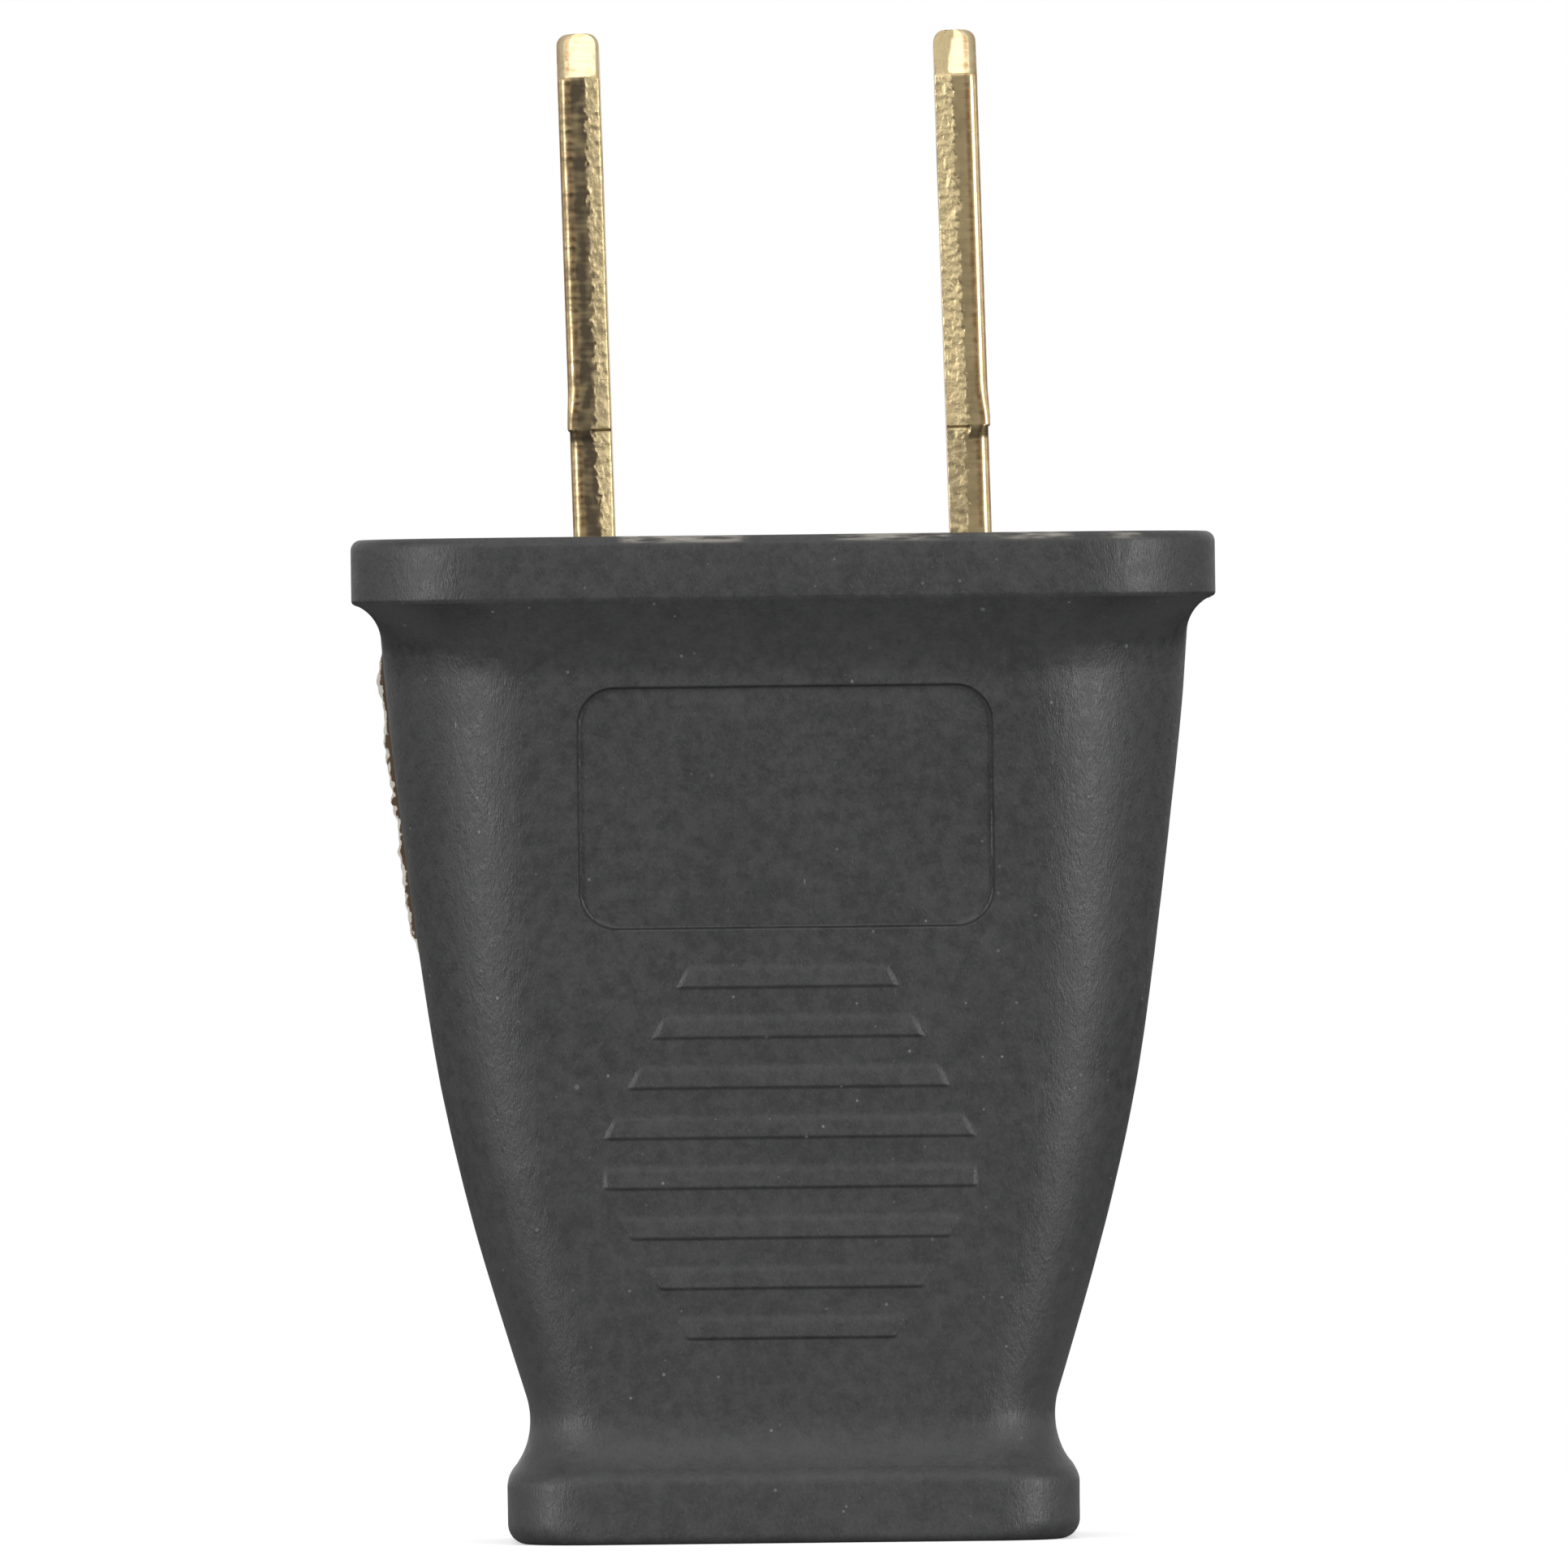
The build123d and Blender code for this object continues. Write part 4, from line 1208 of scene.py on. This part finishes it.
class Finish(Nodes):
    """A node material under construction."""

    def __init__(self, name):
        self.material = bpy.data.materials.new(name)
        self.material.use_nodes = True
        super().__init__(self.material.node_tree)
        self.shader = self.nodes["Principled BSDF"]

    def set(self, **values):
        """Sets or links the shader's sockets, given with underscores for spaces."""
        for key, value in values.items():
            self.feed(self.shader.inputs[key.replace("_", " ")], value)

    def millimetres(self, stretch=(1.0, 1.0, 1.0), turn=(0.0, 0.0, 0.0)):
        """Place on the plug in millimetres, turned and then stretched."""
        place = self.add("ShaderNodeTexCoord")
        turned = self.add("ShaderNodeMapping")
        self.feed(turned.inputs["Vector"], place.outputs["Object"])
        turned.inputs["Rotation"].default_value = [math.radians(t) for t in turn]
        turned.inputs["Scale"].default_value = [1000.0 / k for k in stretch]
        return turned.outputs["Vector"]

    def noise(self, place, size=1.0, detail=3.0, roughness=0.6, distortion=0.0):
        """Cloudy noise with lumps of a size in millimetres."""
        node = self.add("ShaderNodeTexNoise")
        settings = {"Scale": 1.0 / size, "Detail": detail, "Roughness": roughness, "Distortion": distortion}
        for key, value in {"Vector": place, **settings}.items():
            self.feed(node.inputs[key], value)
        return node.outputs["Fac"]

    def cells(self, place, size):
        """Cell noise with cells of a size in millimetres: distance and random colour."""
        node = self.add("ShaderNodeTexVoronoi")
        self.feed(node.inputs["Vector"], place)
        self.feed(node.inputs["Scale"], 1.0 / size)
        return node.outputs["Distance"], node.outputs["Color"]

    def mix(self, share, first, second):
        """Mixes two colours."""
        node = self.add("ShaderNodeMix", data_type="RGBA")
        self.feed(node.inputs["Factor"], share)
        sockets = [socket for socket in node.inputs if socket.type == "RGBA"]
        self.feed(sockets[0], first)
        self.feed(sockets[1], second)
        return next(socket for socket in node.outputs if socket.type == "RGBA")

    def part(self, colour_socket, channel):
        """One channel of a colour."""
        node = self.add("ShaderNodeSeparateColor")
        self.feed(node.inputs["Color"], colour_socket)
        return node.outputs[channel]

    def attribute(self, name):
        """A value stored on the mesh."""
        return self.add("ShaderNodeAttribute", attribute_name=name).outputs["Fac"]

    def specks(self, place, size, width, share):
        """Scattered specks: one in some of the cells, with an uneven outline."""
        distance, shade = self.cells(place, size)
        uneven = self.noise(place, 0.3 * size, detail=2.0, roughness=0.5)
        ragged = self.maths("MULTIPLY_ADD", uneven, 0.8 * width, distance)
        spot = self.span(ragged, 0.9 * width, 1.4 * width, 1.0, 0.0)
        chosen = self.maths("GREATER_THAN", self.part(shade, "Red"), 1.0 - share)
        strength = self.span(self.part(shade, "Green"), 0.0, 1.0, 0.25, 1.0)
        return self.maths("MULTIPLY", self.maths("MULTIPLY", spot, chosen), strength)

    def bump(self, height, depth, normal=None):
        """Bump of a depth in metres, over an earlier one."""
        node = self.add("ShaderNodeBump")
        for key, value in {"Strength": 1.0, "Distance": depth, "Height": height}.items():
            self.feed(node.inputs[key], value)
        if normal:
            self.feed(node.inputs["Normal"], normal)
        return node.outputs["Normal"]


def vinyl_finish(colours):
    """Dull dark vinyl with a leathery grain, mottled tone, dust specks, and a highlight painted on the
    face's rim.
    """
    f = Finish("vinyl")
    place = f.millimetres()
    clouds = f.noise(place, 2.6, detail=4.0)
    mottle = f.noise(place, 0.5)
    speckle = f.noise(place, 0.14, detail=2.0)
    grain = f.noise(f.millimetres((0.06, 0.06, 0.16), turn=(0.0, 42.0, 0.0)), detail=2.0)
    folds = f.noise(f.millimetres((0.3, 0.3, 0.6), turn=(0.0, 36.0, 0.0)))
    tone = f.maths("MULTIPLY_ADD", speckle, 0.3, f.maths("MULTIPLY", mottle, 0.35))
    tone = f.maths("MULTIPLY_ADD", clouds, 0.25, tone)
    skin = f.mix(f.span(tone, 0.31, 0.59), colours.vinyl, colours.vinyl_worn)
    dust = f.maths("MAXIMUM", f.specks(place, 0.6, 0.11, 0.25), f.specks(place, 1.7, 0.06, 0.45))
    scuffs = f.specks(f.millimetres((0.3, 0.5, 1.0), turn=(0.0, 34.0, 0.0)), 3.6, 0.035, 0.3)
    marks = f.maths("MULTIPLY", f.maths("MAXIMUM", dust, scuffs), 0.6)
    patches = f.noise(f.millimetres((1.4, 0.5, 0.12)))
    # Pale patches along the front rim: a painted highlight of the rounded rim
    rim_highlight_share = f.maths("MULTIPLY", f.attribute("rim"), f.span(patches, 0.34, 0.64))
    dusty = f.mix(marks, skin, colours.dust)
    f.set(
        Base_Color=f.mix(rim_highlight_share, dusty, colours.rim_highlight),
        Roughness=f.span(mottle, 0.3, 0.7, 0.41, 0.51),
        Normal=f.bump(grain, 0.017 * MM, f.bump(folds, 0.026 * MM)),
        Specular_IOR_Level=0.75,
    )
    return f.material


def flash_finish(colours):
    """Thin vinyl flash: brown, with a pale film towards its ragged edge, partly whitened vinyl and partly a
    painted glint.
    """
    f = Finish("vinyl_flash")
    patches = f.noise(f.millimetres((0.2, 0.2, 0.34)))
    # Pale towards the ragged edge: whitened vinyl with a painted glint
    film = f.maths("MULTIPLY_ADD", patches, 1.6, f.attribute("film"))
    f.set(
        Base_Color=f.mix(f.span(film, 1.5, 1.62), colours.flash, colours.flash_whitened_and_glint),
        Roughness=f.span(patches, 0.3, 0.7, 0.45, 0.7),
        Normal=f.bump(patches, 0.02 * MM),
    )
    return f.material


def insert_finish(colours):
    """Hard dark moulding with faint flow marks."""
    f = Finish("hard_moulding")
    place = f.millimetres()
    flow = f.noise(place, 3.0, detail=4.0, distortion=1.5)
    grain = f.noise(place, 0.16)
    f.set(
        Base_Color=f.mix(f.span(flow, 0.35, 0.7), colours.insert, colours.insert_mottle),
        Roughness=f.span(grain, 0.3, 0.7, 0.36, 0.5),
        Normal=f.bump(grain, 0.006 * MM),
    )
    return f.material


def brass_finish(colours):
    """Rolled brass strip: fine scratches, torn zones, corner cuts with a painted highlight, a brown band of
    tarnish and painted dark reflection on the rolled-over edges, and grime with painted shade.
    """
    f = Finish("stamped_brass")
    place = f.millimetres()
    torn = f.attribute("torn")
    grime = f.attribute("grime")
    tarnish = f.noise(place, 1.4, detail=4.0)
    rolled = f.noise(f.millimetres((0.05, 0.05, 2.2)))
    scuff = f.noise(f.millimetres((1.2, 1.2, 0.06)))
    crystal = f.noise(place, 0.08, roughness=0.65)
    strip = f.mix(f.span(tarnish, 0.4, 0.75), colours.brass, colours.brass_dull)
    streaks = f.maths("ADD", f.maths("MULTIPLY", rolled, 0.5), f.maths("MULTIPLY", scuff, 0.5))
    smooth_rough = f.span(streaks, 0.35, 0.65, 0.26, 0.36)
    torn_rough = f.span(crystal, 0.3, 0.7, 0.38, 0.5)
    blend = f.maths("MULTIPLY_ADD", torn, f.maths("SUBTRACT", torn_rough, smooth_rough), smooth_rough)
    height = f.maths("MULTIPLY_ADD", f.maths("MULTIPLY", torn, crystal), 4.0, streaks)
    # Brown band on the rolled-over edges: tarnish with a painted dark reflection
    stain_and_shade_patches = f.span(f.noise(place, 0.35), 0.3, 0.6, 0.3, 0.9)
    # Paler patches on the corner cuts: a painted highlight
    tip_highlight_patches = f.span(f.noise(place, 0.5), 0.32, 0.5)
    stained_and_shaded = f.maths("MULTIPLY", f.attribute("stain"), stain_and_shade_patches)
    tip_highlight_share = f.maths("MULTIPLY", f.attribute("burnish"), tip_highlight_patches)
    edge = f.mix(tip_highlight_share, f.mix(torn, strip, colours.brass_torn), colours.brass_tip_highlight)
    bare = f.mix(stained_and_shaded, edge, colours.brass_stain_and_shade)
    # Grime and painted shade darken the brass
    f.set(
        Base_Color=f.mix(grime, bare, colours.brass_grime_and_shade),
        Roughness=f.maths("MULTIPLY_ADD", grime, 0.12, blend),
        Normal=f.bump(height, 0.004 * MM),
        Metallic=1.0,
    )
    return f.material


def screw_finish(colours):
    """Turned brass with fine tool marks."""
    f = Finish("turned_brass")
    marks = f.noise(f.millimetres((0.06, 1.5, 1.5)), detail=2.0, roughness=0.5)
    tarnish = f.noise(f.millimetres(), 0.9, detail=4.0)
    f.set(
        Base_Color=f.mix(f.span(tarnish, 0.4, 0.75), colours.screw, colours.brass_dull),
        Roughness=f.span(marks, 0.3, 0.7, 0.22, 0.36),
        Normal=f.bump(marks, 0.006 * MM),
        Metallic=1.0,
    )
    return f.material


def dress_node(name, material):
    """Gives a CAD node its finish."""
    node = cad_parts[name]
    node.data.materials.clear()
    node.data.materials.append(material)


# Stage: s holds its settings

def from_bearing(azimuth, elevation, distance):
    """Offset at a bearing in degrees: azimuth 0 is towards the camera and 90 to the right."""
    turn = math.radians(azimuth)
    lift = math.radians(elevation)
    level = Vector((math.sin(turn), -math.cos(turn), 0.0)) * math.cos(lift)
    return distance * (level + Vector((0.0, 0.0, math.sin(lift))))


def soft_box(name, place, width, height, watts, target):
    """A rectangular lamp that the camera doesn't see."""
    lamp = bpy.data.lights.new(name, "AREA")
    lamp.shape = "RECTANGLE"
    lamp.size = width
    lamp.size_y = height
    lamp.energy = watts
    box = bpy.data.objects.new(name, lamp)
    box.location = place
    box.rotation_euler = (target - place).to_track_quat("-Z", "Y").to_euler()
    box.visible_camera = False
    bpy.context.scene.collection.objects.link(box)


def flat_floor(material):
    """A square sheet that belongs to the stage."""
    mesh = bpy.data.meshes.new("floor")
    corners = [(x * FLOOR_HALF, y * FLOOR_HALF, 0.0) for x, y in ((-1, -1), (1, -1), (1, 1), (-1, 1))]
    mesh.from_pydata(corners, [], [(0, 1, 2, 3)])
    mesh.materials.append(material)
    sheet = bpy.data.objects.new("floor", mesh)
    bpy.context.scene.collection.objects.link(sheet)


def floor_finish(s):
    """Pale floor that keeps the shadow near the plug and turns white further out, dimmer in gloss."""
    f = Finish("pale_floor")
    away = f.add("ShaderNodeVectorMath", operation="LENGTH")
    f.feed(away.inputs[0], f.add("ShaderNodeTexCoord").outputs["Object"])
    rays = f.add("ShaderNodeLightPath").outputs
    direct = f.maths("MAXIMUM", rays["Is Camera Ray"], rays["Is Transmission Ray"])
    seen = f.maths("MAXIMUM", direct, rays["Is Glossy Ray"])
    shine = f.maths("MULTIPLY_ADD", direct, 1.0 - s.ground, s.ground)
    far = f.span(away.outputs["Value"], FLOOR_NEAR * s.floor_clear, s.floor_clear)
    white = f.add("ShaderNodeEmission")
    f.feed(white.inputs["Strength"], shine)
    blend = f.add("ShaderNodeMixShader")
    f.feed(blend.inputs["Fac"], f.maths("MULTIPLY", seen, far))
    f.feed(blend.inputs[1], f.shader.outputs["BSDF"])
    f.feed(blend.inputs[2], white.outputs["Emission"])
    f.feed(f.nodes["Material Output"].inputs["Surface"], blend.outputs["Shader"])
    f.set(
        Base_Color=f.mix(direct, [s.floor_bounce] * 3, [s.floor_tone] * 3),
        Roughness=0.9,
        Emission_Color=(1.0, 1.0, 1.0),
        Emission_Strength=f.maths("MULTIPLY", f.maths("MULTIPLY", seen, shine), s.floor_glow),
    )
    return f.material


def white_world(sky, room):
    """An even sky, seen as white: gloss shows it white behind the plug and dimmer elsewhere."""
    world = bpy.data.worlds.new("studio")
    world.use_nodes = True
    w = Nodes(world.node_tree)
    rays = w.add("ShaderNodeLightPath").outputs
    heading = w.add("ShaderNodeSeparateXYZ")
    w.feed(heading.inputs["Vector"], w.add("ShaderNodeTexCoord").outputs["Generated"])
    direct = w.maths("MAXIMUM", rays["Is Camera Ray"], rays["Is Transmission Ray"])
    seen = w.maths("MAXIMUM", direct, rays["Is Glossy Ray"])
    backdrop = w.span(heading.outputs["Y"], *BACKDROP, room, 1.0, ends="LINEAR")
    shown = w.maths("MAXIMUM", direct, backdrop)
    background = w.nodes["Background"]
    w.feed(background.inputs["Color"], (1.0, 1.0, 1.0))
    w.feed(background.inputs["Strength"], w.span(seen, 0.0, 1.0, sky, shown, ends="LINEAR"))
    bpy.context.scene.world = world


def aim_camera(s, middle):
    """A camera straight in front of the plug, leaning a little, with the frame's width at the plug."""
    view = bpy.data.cameras.new("camera")
    view.lens = view.sensor_width * s.camera_distance / s.frame_width
    camera = bpy.data.objects.new("camera", view)
    camera.location = middle + Vector((s.camera_side, -s.camera_distance, 0.0))
    camera.rotation_euler = (math.pi / 2, s.camera_roll, 0.0)
    bpy.context.scene.collection.objects.link(camera)
    bpy.context.scene.camera = camera


class PLUG_OT_housing(bpy.types.Operator):
    """Moulds the vinyl housing with its ridges, panel and inside"""

    bl_idname = "plug.housing"
    bl_label = "Housing"

    def execute(self, context):
        scene = context.scene
        grid = housing_points(scene.plug_housing, scene.plug_cavity)
        points = grid.reshape(-1, 3)
        faces = grid_faces(*grid.shape[:2], True).reshape(-1, 4).tolist()
        finish = vinyl_finish(scene.plug_finish)
        piece = add_piece("vinyl_housing", points.tolist(), faces, finish, sharp_degrees=55)
        # The rim marks carry the painted highlight on the face's rim
        add_marks(piece, {"rim": rim_highlight_marks(scene.plug_housing, points)})
        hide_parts("housing")
        return {"FINISHED"}


class PLUG_OT_flash(bpy.types.Operator):
    """Adds the ragged moulding flash on the left parting line"""

    bl_idname = "plug.flash"
    bl_label = "Moulding flash"

    def execute(self, context):
        scene = context.scene
        grid = flash_points(scene.plug_housing, scene.plug_flash)
        points = grid.reshape(-1, 3).tolist()
        faces = grid_faces(*grid.shape[:2], False).reshape(-1, 4)[:, ::-1].tolist()
        ring = len(FLASH_FILM)
        faces += [list(range(ring))[::-1], list(range(len(points) - ring, len(points)))]
        finish = flash_finish(scene.plug_finish)
        piece = add_piece("moulding_flash", points, faces, finish, sharp_degrees=30)
        add_marks(piece, {"film": FLASH_FILM * len(grid)})
        return {"FINISHED"}


class PLUG_OT_blades(bpy.types.Operator):
    """Stamps the two brass blades"""

    bl_idname = "plug.blades"
    bl_label = "Blades"

    def execute(self, context):
        scene = context.scene
        sizes = scene.plug_blades
        finish = brass_finish(scene.plug_finish)
        for blade, (word, side) in enumerate((("left", -1), ("right", 1))):
            points, faces, marks = blade_mesh(sizes, blade)
            if side < 0:
                faces = [face[::-1] for face in faces]
            places = place_blade(sizes, points, side).tolist()
            name = f"brass_blade_{word}"
            piece = add_piece(name, places, faces, finish, sharp_degrees=38)
            add_marks(piece, marks)
            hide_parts(f"blade_{word}")
        return {"FINISHED"}


class PLUG_OT_insert(bpy.types.Operator):
    """Finishes the face plate and the terminal block"""

    bl_idname = "plug.insert"
    bl_label = "Insert"

    def execute(self, context):
        finish = insert_finish(context.scene.plug_finish)
        for name in ("face_plate", "terminal_block"):
            dress_node(name, finish)
        return {"FINISHED"}


class PLUG_OT_screws(bpy.types.Operator):
    """Finishes the two terminal screws"""

    bl_idname = "plug.screws"
    bl_label = "Terminal screws"

    def execute(self, context):
        finish = screw_finish(context.scene.plug_finish)
        for word in ("left", "right"):
            dress_node(f"terminal_screw_{word}", finish)
        return {"FINISHED"}


class PLUG_OT_stage(bpy.types.Operator):
    """Sets the floor, the lamps and the camera"""

    bl_idname = "plug.stage"
    bl_label = "Stage"

    def execute(self, context):
        s = context.scene.plug_stage
        middle = Vector((0.0, 0.0, s.camera_height))
        context.scene.view_settings.view_transform = "Standard"
        flat_floor(floor_finish(s))
        for name, (azimuth, elevation, width, height, setting) in SOFT_BOXES.items():
            place = middle + from_bearing(azimuth, elevation, s.lamp_distance)
            soft_box(name, place, width, height, getattr(s, setting), middle)
        white_world(s.sky, s.room)
        aim_camera(s, middle)
        return {"FINISHED"}


class PLUG_PT_panel(bpy.types.Panel):
    """Lists the pieces and the stage"""

    bl_idname = "PLUG_PT_panel"
    bl_label = "Straight blade plug"
    bl_space_type = "VIEW_3D"
    bl_region_type = "UI"
    bl_category = "Plug"

    def draw(self, context):
        for operator in OPERATORS:
            self.layout.operator(operator.bl_idname)
        for key, group in GROUPS.items():
            box = self.layout.box()
            settings = getattr(context.scene, key)
            for name in group.__annotations__:
                box.prop(settings, name)


GROUPS = {
    "plug_housing": HousingSizes,
    "plug_cavity": CavitySizes,
    "plug_flash": FlashSizes,
    "plug_blades": BladeSizes,
    "plug_finish": FinishColours,
    "plug_stage": StageSettings,
}
OPERATORS = (
    PLUG_OT_housing,
    PLUG_OT_flash,
    PLUG_OT_blades,
    PLUG_OT_insert,
    PLUG_OT_screws,
    PLUG_OT_stage,
)


def register():
    """Registers the groups, the operators and the panel."""
    for key, group in GROUPS.items():
        bpy.utils.register_class(group)
        setattr(bpy.types.Scene, key, PointerProperty(type=group))
    for item in (*OPERATORS, PLUG_PT_panel):
        bpy.utils.register_class(item)


def unregister():
    """Undoes register."""
    for item in (PLUG_PT_panel, *OPERATORS[::-1]):
        bpy.utils.unregister_class(item)
    for key, group in GROUPS.items():
        delattr(bpy.types.Scene, key)
        bpy.utils.unregister_class(group)


def main():
    """Builds the plug and its stage."""
    register()
    bpy.ops.plug.housing()
    bpy.ops.plug.flash()
    bpy.ops.plug.blades()
    bpy.ops.plug.insert()
    bpy.ops.plug.screws()
    bpy.ops.plug.stage()


if __name__ == "__main__":
    main()
